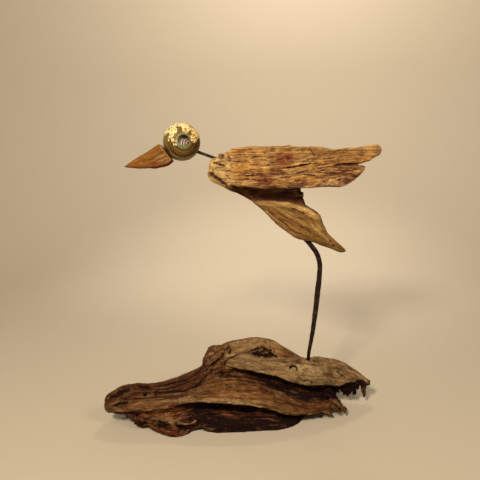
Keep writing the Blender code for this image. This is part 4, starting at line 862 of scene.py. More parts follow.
        # The last term makes the ridge tops between the furrows paler: partly wear, partly painted highlight.
        pale += tones[3] + 0.5 * patch(p, (-128, -64, 21), (20, 12, 6)) + 0.25 * (1 - wide) * (1 - fine) * wild
        keep(mesh, "pale", np.clip(pale * (0.8 + 0.5 * cloud(grain * (0.014, 0.09, 0.09), 71)), 0, 1))
        torn = np.clip(1.2 * end + 0.6 * patch(p, (-168, -56, 17), (28, 18, 12)), 0, 1)
        keep(mesh, "torn", torn * step(p[:, 2], 4, 8))
        keep(mesh, "lean", np.where((p[:, 0] > 100)[:, None], (0.30, 0.0, -0.95), (-0.75, -0.15, -0.45)))
        thin_out(obj, 196000)
        look = wood_look("weathered_root_wood", use.golden, use.pale, use.red, use.dark, flecks=0.5, fine=0.85, lined=0.8)
        thorns = new_object("root_splinters", obj.data.copy())
        hand_over(obj, "weathered_root", look, "base_driftwood")
        values = {"Per Square Metre": 9000.0, "Length": use.splinter, "Seed": use.seed, "Material": look}
        run_tree(thorns, splinter_tree(), values)
        hand_over(thorns, "weathered_root", look, "base_driftwood")
        shards = polylines("root_shards", ROOT_SHARDS)
        run_tree(shards, shard_tree(), {"Sides": 12, "Rough": 0.0011, "Material": look})
        keep(shards.data, "grain", read(shards.data)[:, [2, 0, 1]] * (1.0, 1.0, 1.0) + 40)
        hand_over(shards, "weathered_root", look, "base_driftwood")
        return {"FINISHED"}


def polylines(name, lines):
    """Loose lines of edges with a radius and a tone at each point, for the trees that sweep them."""
    points, edges, values = [], [], []
    for line, dark, pale in lines:
        start = len(points)
        points += [[c / 1000 for c in q[:3]] for q in line]
        edges += [(i, i + 1) for i in range(start, len(points) - 1)]
        values += [(q[3] / 1000, dark, pale) for q in line]
    mesh = bpy.data.meshes.new(name)
    mesh.from_pydata(points, edges, [])
    for label, column in zip(("thick", "dark", "pale"), np.array(values).T):
        keep(mesh, label, column)
    keep(mesh, "red", np.full(len(points), 0.35))
    return new_object(name, mesh)


def shard_tree():
    """Ragged, flattened shards along lines, as thick as the lines' own radius."""
    tree, given, out = geometry_tree("shards", [
        ("Sides", "Int", 12), ("Rough", "Float", 0.001), ("Material", "Material", None)])
    curve = add(tree, "GeometryNodeMeshToCurve", {"Mesh": given.outputs["Geometry"]})
    even = add(tree, "GeometryNodeResampleCurve", {"Curve": curve.outputs[0], "Length": 0.0008}, mode="LENGTH")
    radius = add(tree, "GeometryNodeInputNamedAttribute", {"Name": "thick"}, data_type="FLOAT").outputs[0]
    ring = add(tree, "GeometryNodeCurvePrimitiveCircle", {"Radius": 1.0})
    tree.links.new(given.outputs["Sides"], ring.inputs["Resolution"])
    flat = add(tree, "GeometryNodeTransform", {"Geometry": ring.outputs[0], "Scale": (1.0, 0.62, 1.0)})
    body = add(tree, "GeometryNodeCurveToMesh", {"Curve": even.outputs[0], "Profile Curve": flat.outputs[0],
                                                 "Scale": radius, "Fill Caps": True})
    place = add(tree, "GeometryNodeInputPosition").outputs[0]
    drawn = add(tree, "ShaderNodeVectorMath", {0: place, 1: (1.0, 1.0, 0.45)}, operation="MULTIPLY")
    noise = add(tree, "ShaderNodeTexNoise", {"Vector": drawn.outputs[0], "Scale": 420.0, "Detail": 3.0})
    depth = add(tree, "ShaderNodeMath", {0: noise.outputs["Fac"], 1: 0.55}, operation="SUBTRACT")
    depth = add(tree, "ShaderNodeMath", {0: depth.outputs[0], 1: given.outputs["Rough"]}, operation="MULTIPLY")
    depth = add(tree, "ShaderNodeMath", {0: depth.outputs[0], 1: 5.0}, operation="MULTIPLY")
    normal = add(tree, "GeometryNodeInputNormal").outputs[0]
    push = add(tree, "ShaderNodeVectorMath", {0: normal, "Scale": depth.outputs[0]}, operation="SCALE")
    moved = add(tree, "GeometryNodeSetPosition", {"Geometry": body.outputs[0], "Offset": push.outputs[0]})
    real = add(tree, "GeometryNodeRealizeInstances", {"Geometry": moved.outputs[0]})
    done = add(tree, "GeometryNodeSetMaterial", {"Geometry": real.outputs[0], "Material": given.outputs["Material"]})
    tree.links.new(done.outputs[0], out.inputs[0])
    return tree


def splinter_tree():
    """Thin splinters that stand on the torn places of a mesh, along its lean."""
    tree, given, out = geometry_tree("splinters", [
        ("Per Square Metre", "Float", 40000.0), ("Length", "Float", 0.008), ("Seed", "Int", 1),
        ("Material", "Material", None)])
    torn = add(tree, "GeometryNodeInputNamedAttribute", {"Name": "torn"}, data_type="FLOAT").outputs[0]
    lean = add(tree, "GeometryNodeInputNamedAttribute", {"Name": "lean"}, data_type="FLOAT_VECTOR").outputs[0]
    density = add(tree, "ShaderNodeMath", {0: torn, 1: given.outputs["Per Square Metre"]}, operation="MULTIPLY")
    spread = add(tree, "GeometryNodeDistributePointsOnFaces", {
        "Mesh": given.outputs["Geometry"], "Density": density.outputs[0], "Seed": given.outputs["Seed"]})
    stray = add(tree, "FunctionNodeRandomValue", {"Min": (-0.35, -0.35, -0.35), "Max": (0.35, 0.35, 0.35),
                                                  "Seed": given.outputs["Seed"]}, data_type="FLOAT_VECTOR")
    way = add(tree, "ShaderNodeVectorMath", {0: lean, 1: stray.outputs[0]})
    turn = add(tree, "FunctionNodeAlignRotationToVector", {"Vector": way.outputs[0]}, axis="Z")
    size = add(tree, "FunctionNodeRandomValue", {"Min": 0.3, "Max": 1.0}, data_type="FLOAT")
    for socket in size.inputs:
        if socket.enabled and socket.name in ("Min", "Max"):
            socket.default_value = 0.3 if socket.name == "Min" else 1.0
    cone = add(tree, "GeometryNodeMeshCone", {"Vertices": 5, "Side Segments": 2, "Radius Top": 0.00005,
                                              "Radius Bottom": 0.00110, "Depth": given.outputs["Length"]})
    sunk = add(tree, "GeometryNodeTransform", {"Geometry": cone.outputs["Mesh"],
                                               "Translation": (0.0, 0.0, -0.0020)})
    placed = add(tree, "GeometryNodeInstanceOnPoints", {
        "Points": spread.outputs["Points"], "Instance": sunk.outputs[0], "Rotation": turn.outputs[0]})
    tree.links.new(size.outputs[1], placed.inputs["Scale"])
    real = add(tree, "GeometryNodeRealizeInstances", {"Geometry": placed.outputs[0]})
    done = add(tree, "GeometryNodeSetMaterial", {"Geometry": real.outputs[0], "Material": given.outputs["Material"]})
    tree.links.new(done.outputs[0], out.inputs[0])
    return tree


def wing_place(p, side):
    """A wing's own coordinates in mm: along, down from the top line and out from the inner face."""
    y = side * (p[:, 1] - MIDDLE[1]) - WING_TOP[0]
    z = WING_TOP[1] - p[:, 2]
    s, c = math.sin(WING_LEAN), math.cos(WING_LEAN)
    return np.column_stack([p[:, 0] - MIDDLE[0], y * s + z * c, y * c - z * s])


class MakeWings(bpy.types.Operator):
    """Carve the two planks that are the wings"""
    bl_idname = "driftwood.wings"
    bl_label = "Wings"

    def execute(self, context):
        use = context.scene.driftwood_bird
        look = wood_look("golden_driftwood_grain", use.ochre, use.straw, use.stain, use.purple, flecks=0.85,
                         relief=1.0, fine=1.75, bend=2.0, blotches=0.30, lined=0.7)
        for node, side, cracks, seed in (("wing_near", -1, NEAR_CRACKS, 5), ("wing_far", 1, FAR_CRACKS, 305)):
            obj = skin_of(node + "_wood", node, use.skin, 4)
            mesh = obj.data
            p, n = read(mesh), read(mesh, "normal")
            w = wing_place(p, side)
            grain = w.copy()
            grain[:, 1] += 0.13 * np.clip(w[:, 0] - 60, 0, 80) * band(w[:, 1], 15, 60, 10)
            grain[:, 1] += 2.6 * cloud(w * (0.016, 0.05, 0.05), seed, 2)
            rough = 0.65 + 0.45 * patch(w, (165, 48, 9), (50, 22, 20)) + 0.25 * cloud(w * 0.03, seed + 3, 2)
            wide = furrows(grain, 0.022, 0.20, seed + 10)
            fine = furrows(grain, 0.055, 0.50, seed + 20)
            nick = furrows(grain, 0.035, 0.60, seed + 60, 0.16) * step(cloud(w * (0.09, 0.14, 0.14), seed + 61, 2), 0.0, 0.3)
            deep = use.furrow * 1000 * rough * (wide + 0.6 * fine)
            deep += 0.9 * (1 + cloud(w * (0.055, 0.16, 0.16), seed + 30)) * rough
            lined = np.column_stack([w[:, :2], np.zeros(len(w))])
            face = step(w[:, 2], 3.0, 6.0)
            cut = carve(lined, [([(u, d, 0) for u, d in line], half, depth) for line, half, depth in cracks],
                        seed + 40) * face + 1.7 * nick
            front = step(-w[:, 0], 6, 17)
            deep += front * (1.1 + 1.5 * np.maximum(cloud(w * 0.20, seed + 70), -0.3))
            write(mesh, p - n * (deep + cut - 0.7)[:, None])
            keep(mesh, "grain", grain + seed)
            shade = 0.95 * np.clip(cut / 1.6, 0, 1) + 0.50 * wide * rough + 0.35 * fine * rough
            shade += 0.5 * patch(w, (160, 46, 9), (42, 20, 20)) * (0.5 + 0.5 * cloud(grain * (0.05, 0.3, 0.3), 8))
            shade += 0.3 * patch(w, (118, 12, 9), (24, 12, 20)) * (0.5 + 0.5 * cloud(grain * (0.05, 0.3, 0.3), 8))
            shade += 0.6 * step(w[:, 1], 56, 65) * (0.7 + 0.6 * cloud(grain * (0.08, 0.2, 0.2), 12))
            shade += 0.10 * band(w[:, 0], 44, 118, 22)
            keep(mesh, "dark", np.clip(shade, 0, 0.95))
            red = sum(patch(lined, (u, d, 0), (r, r * 0.7, 9)) * a for u, d, r, a in (
                (74, 22, 17, 1.1), (41, 54, 15, 1.1), (62, 30, 12, 0.6), (165, 45, 34, 0.35)))
            keep(mesh, "red", np.clip(red * (0.75 + 0.6 * cloud(grain * (0.04, 0.3, 0.3), 9)), 0, 0.9))
            pale = 0.75 * step(-w[:, 0], 0, 16) + 0.5 * cloud(grain * (0.012, 0.10, 0.10), seed + 50)
            # Paler ridge tops between the furrows: partly wear, partly painted highlight.
            pale += 0.3 * (1 - wide) * (1 - fine) * rough
            keep(mesh, "pale", np.clip(pale + 0.15, 0, 0.85))
            hand_over(obj, "golden_driftwood", look, node)
        return {"FINISHED"}


class MakeBody(bpy.types.Operator):
    """Carve the breast and tail"""
    bl_idname = "driftwood.body"
    bl_label = "Body"

    def execute(self, context):
        use = context.scene.driftwood_bird
        obj = skin_of("body_wood", "body_driftwood", use.skin * 1.1, 2)
        mesh = obj.data
        p, n = read(mesh), read(mesh, "normal")
        down = between(p, TAIL_TOP, TAIL_BOTTOM)
        grain = np.column_stack([p @ (0.85, 0, -0.53), 38 * down, p[:, 1]])
        under_wing = np.interp(p[:, 0], *zip(*TAIL_TOP)) < p[:, 2] - 1.5
        grain[under_wing] = (p[:, [0, 2, 1]] + 200)[under_wing]
        grain[:, 1] += 2.4 * cloud(p * (0.015, 0.05, 0.03), 6, 2)
        breast = step(-p[:, 0], -6, 12) * step(p[:, 2], 385, 398)
        ledge = np.interp(p[:, 0], (-43, -16, -9, 10, 30, 35, 56, 83, 105, 112, 131),
                          (413, 393, 383, 373, 367, 367, 366, 363, 357, 354, 340))
        scoop = step(p[:, 2] - ledge, 0.5, 3.5) * step(p[:, 0], -14, 4) * step(-p[:, 2], -425, -402)
        post = scoop * step(p[:, 0], 84, 98)
        lower = step(down, 0.55, 0.95) * band(p[:, 0], 10, 118, 12)
        wide = furrows(grain, 0.014, 0.17, 16)
        fine = furrows(grain, 0.040, 0.45, 26)
        rough = 0.62 + 0.3 * scoop + 0.35 * lower + 0.25 * breast
        deep = use.furrow * 1000 * rough * (wide + 0.6 * fine) + 0.35 * (1 + cloud(p * 0.06, 36))
        tones = drawn(p, BODY_TONES, 92)
        deep -= tones[0] + 1.8 * step(n @ (0.8, 0, 0.6), 0.2, 0.7) * band(p[:, 0], 100, 150, 8)
        cut = carve(p, BODY_CRACKS, 46)
        ragged = step(p[:, 0], 92, 100) * band(p[:, 2], 364, 400, 4) * (0.7 + 1.5 * cloud(p * 0.2, 47, 3))
        holes = sum(patch(p, at, (2.6, 6.0, 2.2)) for at in ((154.6, 12, 295.7), (159.7, 14, 287.1)))
        calm = step(np.hypot(p[:, 0] + 30, p[:, 2] - 435.4), 3, 7)
        write(mesh, p - n * ((deep + cut - 0.5 + 1.6 * holes + 3.6 * np.maximum(ragged, 0)) * calm)[:, None])
        keep(mesh, "grain", grain)
        # Painted shadow of the near wing: the scoop under it is darkened, less where lit and post say the lamp
        # reached.
        lit = patch(p, (44, 8, 381), (40, 20, 9)) + 0.5 * patch(p, (4, 8, 384), (22, 20, 12))
        shade = 0.95 * np.clip(cut / 2, 0, 1) + (0.9 - 0.45 * lit - 0.4 * post) * scoop + 0.8 * holes
        shade += 0.45 * wide * rough + 0.35 * fine * rough
        # The last term is painted shade on faces turned down.
        shade += 0.02 * lower * (0.7 + 0.6 * cloud(grain * (0.02, 0.16, 0.16), 56)) + 0.15 * step(-n[:, 2], 0.35, 0.9)
        shade += 0.75 * patch(p, (-19, 14, 438), (9, 14, 5.5))
        keep(mesh, "dark", np.clip(shade + tones[1], 0, 0.97))
        # The scoop's red is the colour painted into the wing's shadow.
        keep(mesh, "red", np.clip(0.45 * scoop + 0.12 * lower + tones[2], 0, 1))
        # The band below the ledge is painted light: a paler strip where the lamp reaches under the wing.
        pale = breast + 0.12 * lower + 0.24 * cloud(grain * (0.012, 0.1, 0.1), 66) + 0.5 * band(p[:, 2] - ledge, -6, 0, 2) + tones[3]
        keep(mesh, "pale", np.clip(pale, 0, 1))
        look = wood_look("pale_driftwood_grain", use.olive, use.straw, use.stain, use.purple, flecks=0.35,
                         relief=0.9, fine=1.3, bend=2.5, blotches=0.25, lined=0.36)
        hand_over(obj, "pale_driftwood", look, "body_driftwood")
        return {"FINISHED"}


class MakeBeak(bpy.types.Operator):
    """Carve the beak"""
    bl_idname = "driftwood.beak"
    bl_label = "Beak"

    def execute(self, context):
        use = context.scene.driftwood_bird
        obj = skin_of("beak_wood", "beak", 0.00075, 2)
        mesh = obj.data
        p, n = read(mesh), read(mesh, "normal")
        grain = np.column_stack([p @ (0.94, 0, 0.34), p @ (-0.34, 0, 0.94), p[:, 1]])
        grain[:, 1] += 2.0 * cloud(grain * (0.03, 0.09, 0.09), 7, 2)
        seat = np.abs((p - np.array(BALL_AT)) @ np.array(BEAK_SEAT))
        calm = step(seat - 28.8, 0.2, 2.5)
        wide, fine = furrows(grain, 0.02, 0.22, 17), furrows(grain, 0.05, 0.6, 27)
        deep = 0.55 * wide + 0.3 * fine + 0.15 * (1 + cloud(p * 0.1, 37))
        tones = drawn(p, BEAK_TONES, 94)
        deep += 2.4 * step(n[:, 2], 0.25, 0.75) * band(p[:, 0], -166, -138, 9) - tones[0]
        deep -= 2.6 * step(-n[:, 2], 0.2, 0.6) * band(p[:, 0], -132, -101, 6)
        write(mesh, p - n * (deep * calm)[:, None])
        keep(mesh, "grain", grain)
        low = np.interp(p[:, 0], (-175, -158, -142, -118, -104, -95), (424, 422.4, 421.2, 423.0, 425.6, 429.6))
        thick = np.interp(p[:, 0], (-175, -150, -130, -100), (1.8, 2.6, 4.4, 6.4))
        # Painted shade: a dark band, as thick as thick, along the beak's lower edge, and darker faces turned down.
        shade = 0.35 * wide + 0.85 * (1 - step(p[:, 2] - low, 0.6 * thick, 1.2 * thick)) + 0.3 * step(-n[:, 2], 0.2, 0.8)
        shade += 0.5 * step(-p[:, 0], 160, 172)
        keep(mesh, "dark", np.clip(shade + tones[1], 0, 0.92))
        keep(mesh, "red", np.clip(0.06 + 0.4 * cloud(grain * (0.03, 0.12, 0.12), 47) + 0.25 * band(p[:, 2] - low, 2.5, 7, 2), 0, 0.6))
        keep(mesh, "pale", np.clip(0.5 * patch(p, (-110, 21, 437), (18, 20, 11)) + 0.6 * (1 - calm) + tones[3], 0, 1))
        look = wood_look("orange_driftwood_grain", use.orange, [c * 0.6 for c in use.straw], use.stain,
                         [c * 0.4 for c in use.stain], flecks=0.6,
                         relief=0.6, fine=1.0, sheen=0.66, bend=2.0, blotches=0.25, lined=0.3)
        hand_over(obj, "orange_driftwood", look, "beak")
        return {"FINISHED"}


def rod_tree():
    """A hammered round bar along a curve, as thick as the curve's own radius."""
    tree, given, out = geometry_tree("hammered_rod", [
        ("Sides", "Int", 24), ("Hammer", "Float", 0.0003), ("Step", "Float", 0.0012),
        ("Material", "Material", None)])
    curve = add(tree, "GeometryNodeMeshToCurve", {"Mesh": given.outputs["Geometry"]})
    spline = add(tree, "GeometryNodeCurveSplineType", {"Curve": curve.outputs[0]}, spline_type="CATMULL_ROM")
    radius = add(tree, "GeometryNodeInputNamedAttribute", {"Name": "thick"}, data_type="FLOAT").outputs[0]
    sized = add(tree, "GeometryNodeSetCurveRadius", {"Curve": spline.outputs[0], "Radius": radius})
    even = add(tree, "GeometryNodeResampleCurve", {"Curve": sized.outputs[0], "Length": given.outputs["Step"]},
               mode="LENGTH")
    ring = add(tree, "GeometryNodeCurvePrimitiveCircle", {"Radius": 1.0})
    tree.links.new(given.outputs["Sides"], ring.inputs["Resolution"])
    body = add(tree, "GeometryNodeCurveToMesh", {"Curve": even.outputs[0], "Profile Curve": ring.outputs[0],
                                                 "Scale": radius, "Fill Caps": True})
    place = add(tree, "GeometryNodeInputPosition").outputs[0]
    noise = add(tree, "ShaderNodeTexNoise", {"Vector": place, "Scale": 95.0, "Detail": 2.0, "Roughness": 0.4})
    depth = add(tree, "ShaderNodeMath", {0: noise.outputs["Fac"], 1: 0.55}, operation="SUBTRACT")
    depth = add(tree, "ShaderNodeMath", {0: depth.outputs[0], 1: given.outputs["Hammer"]}, operation="MULTIPLY")
    depth = add(tree, "ShaderNodeMath", {0: depth.outputs[0], 1: 4.0}, operation="MULTIPLY")
    normal = add(tree, "GeometryNodeInputNormal").outputs[0]
    push = add(tree, "ShaderNodeVectorMath", {0: normal, "Scale": depth.outputs[0]}, operation="SCALE")
    moved = add(tree, "GeometryNodeSetPosition", {"Geometry": body.outputs[0], "Offset": push.outputs[0]})
    real = add(tree, "GeometryNodeRealizeInstances", {"Geometry": moved.outputs[0]})
    done = add(tree, "GeometryNodeSetMaterial", {"Geometry": real.outputs[0], "Material": given.outputs["Material"]})
    tree.links.new(done.outputs[0], out.inputs[0])
    return tree


class MakeIron(bpy.types.Operator):
    """Forge the leg and the neck"""
    bl_idname = "driftwood.iron"
    bl_label = "Leg and neck"

    def execute(self, context):
        use = context.scene.driftwood_iron
        look = iron_look("forged_iron_skin", use.black, use.rust, 0.3)
        tree = rod_tree()
        for name, line, node in (("leg_iron", LEG, "leg_rod"), ("neck_iron", NECK, "neck_rod")):
            mesh = bpy.data.meshes.new(name)
            mesh.from_pydata([[c / 1000 for c in q[:3]] for q in line], [(i, i + 1) for i in range(len(line) - 1)], [])
            keep(mesh, "thick", np.array([q[3] / 1000 for q in line]))
            obj = new_object(name, mesh)
            run_tree(obj, tree, {"Sides": use.sides, "Hammer": use.hammer, "Step": 0.0012, "Material": look})
            hand_over(obj, "forged_iron", look, node)
        return {"FINISHED"}


class MakeNails(bpy.types.Operator):
    """Give the nails that hold the wings their rusted look"""
    bl_idname = "driftwood.nails"
    bl_label = "Nails"

    def execute(self, context):
        use = context.scene.driftwood_iron
        look = iron_look("rusty_nail", use.black, use.nail, 1.6)
        for place in ("near_front", "near_rear", "far_front", "far_rear"):
            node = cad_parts["wing_nail_" + place]
            node.data.materials.clear()
            node.data.materials.append(look)
        return {"FINISHED"}


def turned_tree():
    """A body turned on a lathe: its outline, as (radius less the ring's, minus the height), swept round a ring."""
    tree, given, out = geometry_tree("turned_body", [
        ("Ring", "Float", 0.018), ("Steps", "Int", 96), ("Material", "Material", None)])
    outline = add(tree, "GeometryNodeMeshToCurve", {"Mesh": given.outputs["Geometry"]})
    ring = add(tree, "GeometryNodeCurvePrimitiveCircle")
    tree.links.new(given.outputs["Ring"], ring.inputs["Radius"])
    tree.links.new(given.outputs["Steps"], ring.inputs["Resolution"])
    body = add(tree, "GeometryNodeCurveToMesh", {"Curve": ring.outputs[0], "Profile Curve": outline.outputs[0]})
    real = add(tree, "GeometryNodeRealizeInstances", {"Geometry": body.outputs[0]})
    done = add(tree, "GeometryNodeSetMaterial", {"Geometry": real.outputs[0], "Material": given.outputs["Material"]})
    tree.links.new(done.outputs[0], out.inputs[0])
    return tree


def turned(name, outline, look):
    """A turned body about the ball's bore, from (radius, height) in mm, its outline closed."""
    ring = 18.0
    mesh = bpy.data.meshes.new(name)
    mesh.from_pydata([((r - ring) / 1000, -h / 1000, 0) for r, h in outline],
                     [(i, (i + 1) % len(outline)) for i in range(len(outline))], [])
    obj = new_object(name, mesh)
    run_tree(obj, turned_tree(), {"Ring": ring / 1000, "Steps": 250, "Material": look})
    turn = Vector((0, 0, 1)).rotation_difference(BORE_AXIS).to_matrix().to_4x4()
    obj.data.transform(Matrix.Translation(BALL_AT / 1000) @ turn)
    return obj


def flake_tree():
    """Flat flakes of crust strewn over a mesh where its crust attribute is high."""
    tree, given, out = geometry_tree("crust_flakes", [
        ("Per Square Metre", "Float", 300000.0), ("Size", "Float", 0.001), ("Seed", "Int", 1),
        ("Material", "Material", None)])
    crust = add(tree, "GeometryNodeInputNamedAttribute", {"Name": "crust"}, data_type="FLOAT").outputs[0]
    density = add(tree, "ShaderNodeMath", {0: crust, 1: given.outputs["Per Square Metre"]}, operation="MULTIPLY")
    spread = add(tree, "GeometryNodeDistributePointsOnFaces", {
        "Mesh": given.outputs["Geometry"], "Density": density.outputs[0], "Seed": given.outputs["Seed"]})
    flake = add(tree, "GeometryNodeMeshIcoSphere", {"Radius": given.outputs["Size"], "Subdivisions": 1})
    flat = add(tree, "GeometryNodeTransform", {"Geometry": flake.outputs["Mesh"], "Scale": (1.0, 0.75, 0.5)})
    spin = add(tree, "FunctionNodeRandomValue", {"Min": (-0.25, -0.25, 0.0), "Max": (0.25, 0.25, 6.28)},
               data_type="FLOAT_VECTOR")
    as_turn = add(tree, "FunctionNodeEulerToRotation", {"Euler": spin.outputs[0]})
    turn = add(tree, "FunctionNodeRotateRotation", {"Rotation": spread.outputs["Rotation"],
                                                    "Rotate By": as_turn.outputs[0]}, rotation_space="LOCAL")
    size = add(tree, "FunctionNodeRandomValue", data_type="FLOAT")
    for socket in size.inputs:
        if socket.enabled and socket.name in ("Min", "Max"):
            socket.default_value = 0.35 if socket.name == "Min" else 1.25
    placed = add(tree, "GeometryNodeInstanceOnPoints", {
        "Points": spread.outputs["Points"], "Instance": flat.outputs[0], "Rotation": turn.outputs[0]})
    tree.links.new(size.outputs[1], placed.inputs["Scale"])
    chance = add(tree, "FunctionNodeRandomValue", data_type="FLOAT")
    toned = add(tree, "GeometryNodeStoreNamedAttribute", {"Geometry": placed.outputs[0], "Name": "tone"},
                data_type="FLOAT", domain="INSTANCE")
    tree.links.new(chance.outputs[1], toned.inputs["Value"])
    real = add(tree, "GeometryNodeRealizeInstances", {"Geometry": toned.outputs[0]})
    done = add(tree, "GeometryNodeSetMaterial", {"Geometry": real.outputs[0], "Material": given.outputs["Material"]})
    tree.links.new(done.outputs[0], out.inputs[0])
    return tree


def camera_axes():
    """The camera's right, up and forward."""
    up = Vector((0, math.sin(PITCH), math.cos(PITCH)))
    right = Vector((1, 0, 0))
    ahead = Vector((0, math.cos(PITCH), -math.sin(PITCH)))
    return (right * math.cos(ROLL) - up * math.sin(ROLL), right * math.sin(ROLL) + up * math.cos(ROLL), ahead)


def float_look(use):
    """The ball's glaze in turned bands, with stains, painted shade and painted light, and crust where the attribute
    says.
    """
    look, tree, shader = new_material("olive_float_glaze")
    height = attribute(tree, "turn")[1]
    place = add(tree, "ShaderNodeTexCoord").outputs["Object"]
    stain = add(tree, "ShaderNodeTexNoise", {"Vector": place, "Scale": 75.0, "Detail": 6.0, "Roughness": 0.65})
    bands = add(tree, "ShaderNodeTexNoise", {"W": height, "Scale": 0.75, "Detail": 4.0}, noise_dimensions="1D")
    grit = add(tree, "ShaderNodeTexNoise", {"Vector": place, "Scale": 420.0, "Detail": 4.0, "Roughness": 0.7})
    colour = mix(tree, ramp(tree, bands.outputs["Fac"], 0.38, 0.62), [c * 1.2 for c in use.olive], [c * 0.55 for c in use.olive])
    colour = mix(tree, attribute(tree, "lime")[1], colour, use.lime)
    stained = math_node(tree, "MULTIPLY", ramp(tree, stain.outputs["Fac"], 0.48, 0.66), 0.55)
    colour = mix(tree, stained, colour, use.brown)
    # dark and ring carry stains and turned rings together with painted shade; gold carries lighter bands and painted
    # bounce light.
    colour = mix(tree, attribute(tree, "dark")[1], colour, use.brown)
    colour = mix(tree, attribute(tree, "ring")[1], colour, [c * 0.14 for c in use.brown])
    colour = mix(tree, attribute(tree, "gold")[1], colour, [c * 2.1 for c in use.olive])
    cream = mix(tree, attribute(tree, "peach")[1], use.cream, use.peach)
    edge = math_node(tree, "MULTIPLY", math_node(tree, "SUBTRACT", grit.outputs["Fac"], 0.5), 0.9)
    crusty = ramp(tree, math_node(tree, "ADD", attribute(tree, "crust")[1], edge), 0.42, 0.54)
    cream = mix(tree, ramp(tree, grit.outputs["Fac"], 0.38, 0.54), cream, [c * k for c, k in zip(use.cream, (.42, .34, .12))])
    colour = mix(tree, crusty, colour, cream)
    tree.links.new(colour, shader.inputs["Base Color"])
    rough = math_node(tree, "ADD", math_node(tree, "MULTIPLY", crusty, 0.45),
                      math_node(tree, "MULTIPLY", stain.outputs["Fac"], 0.35))
    tree.links.new(math_node(tree, "ADD", rough, 0.28), shader.inputs["Roughness"])
    shader.inputs["Specular IOR Level"].default_value = 0.22
    bumpy = math_node(tree, "ADD", math_node(tree, "MULTIPLY", grit.outputs["Fac"], crusty),
                      math_node(tree, "MULTIPLY", bands.outputs["Fac"], 0.35))
    bump = add(tree, "ShaderNodeBump", {"Strength": 0.8, "Distance": 0.0006, "Height": bumpy})
    tree.links.new(bump.outputs[0], shader.inputs["Normal"])
    return look


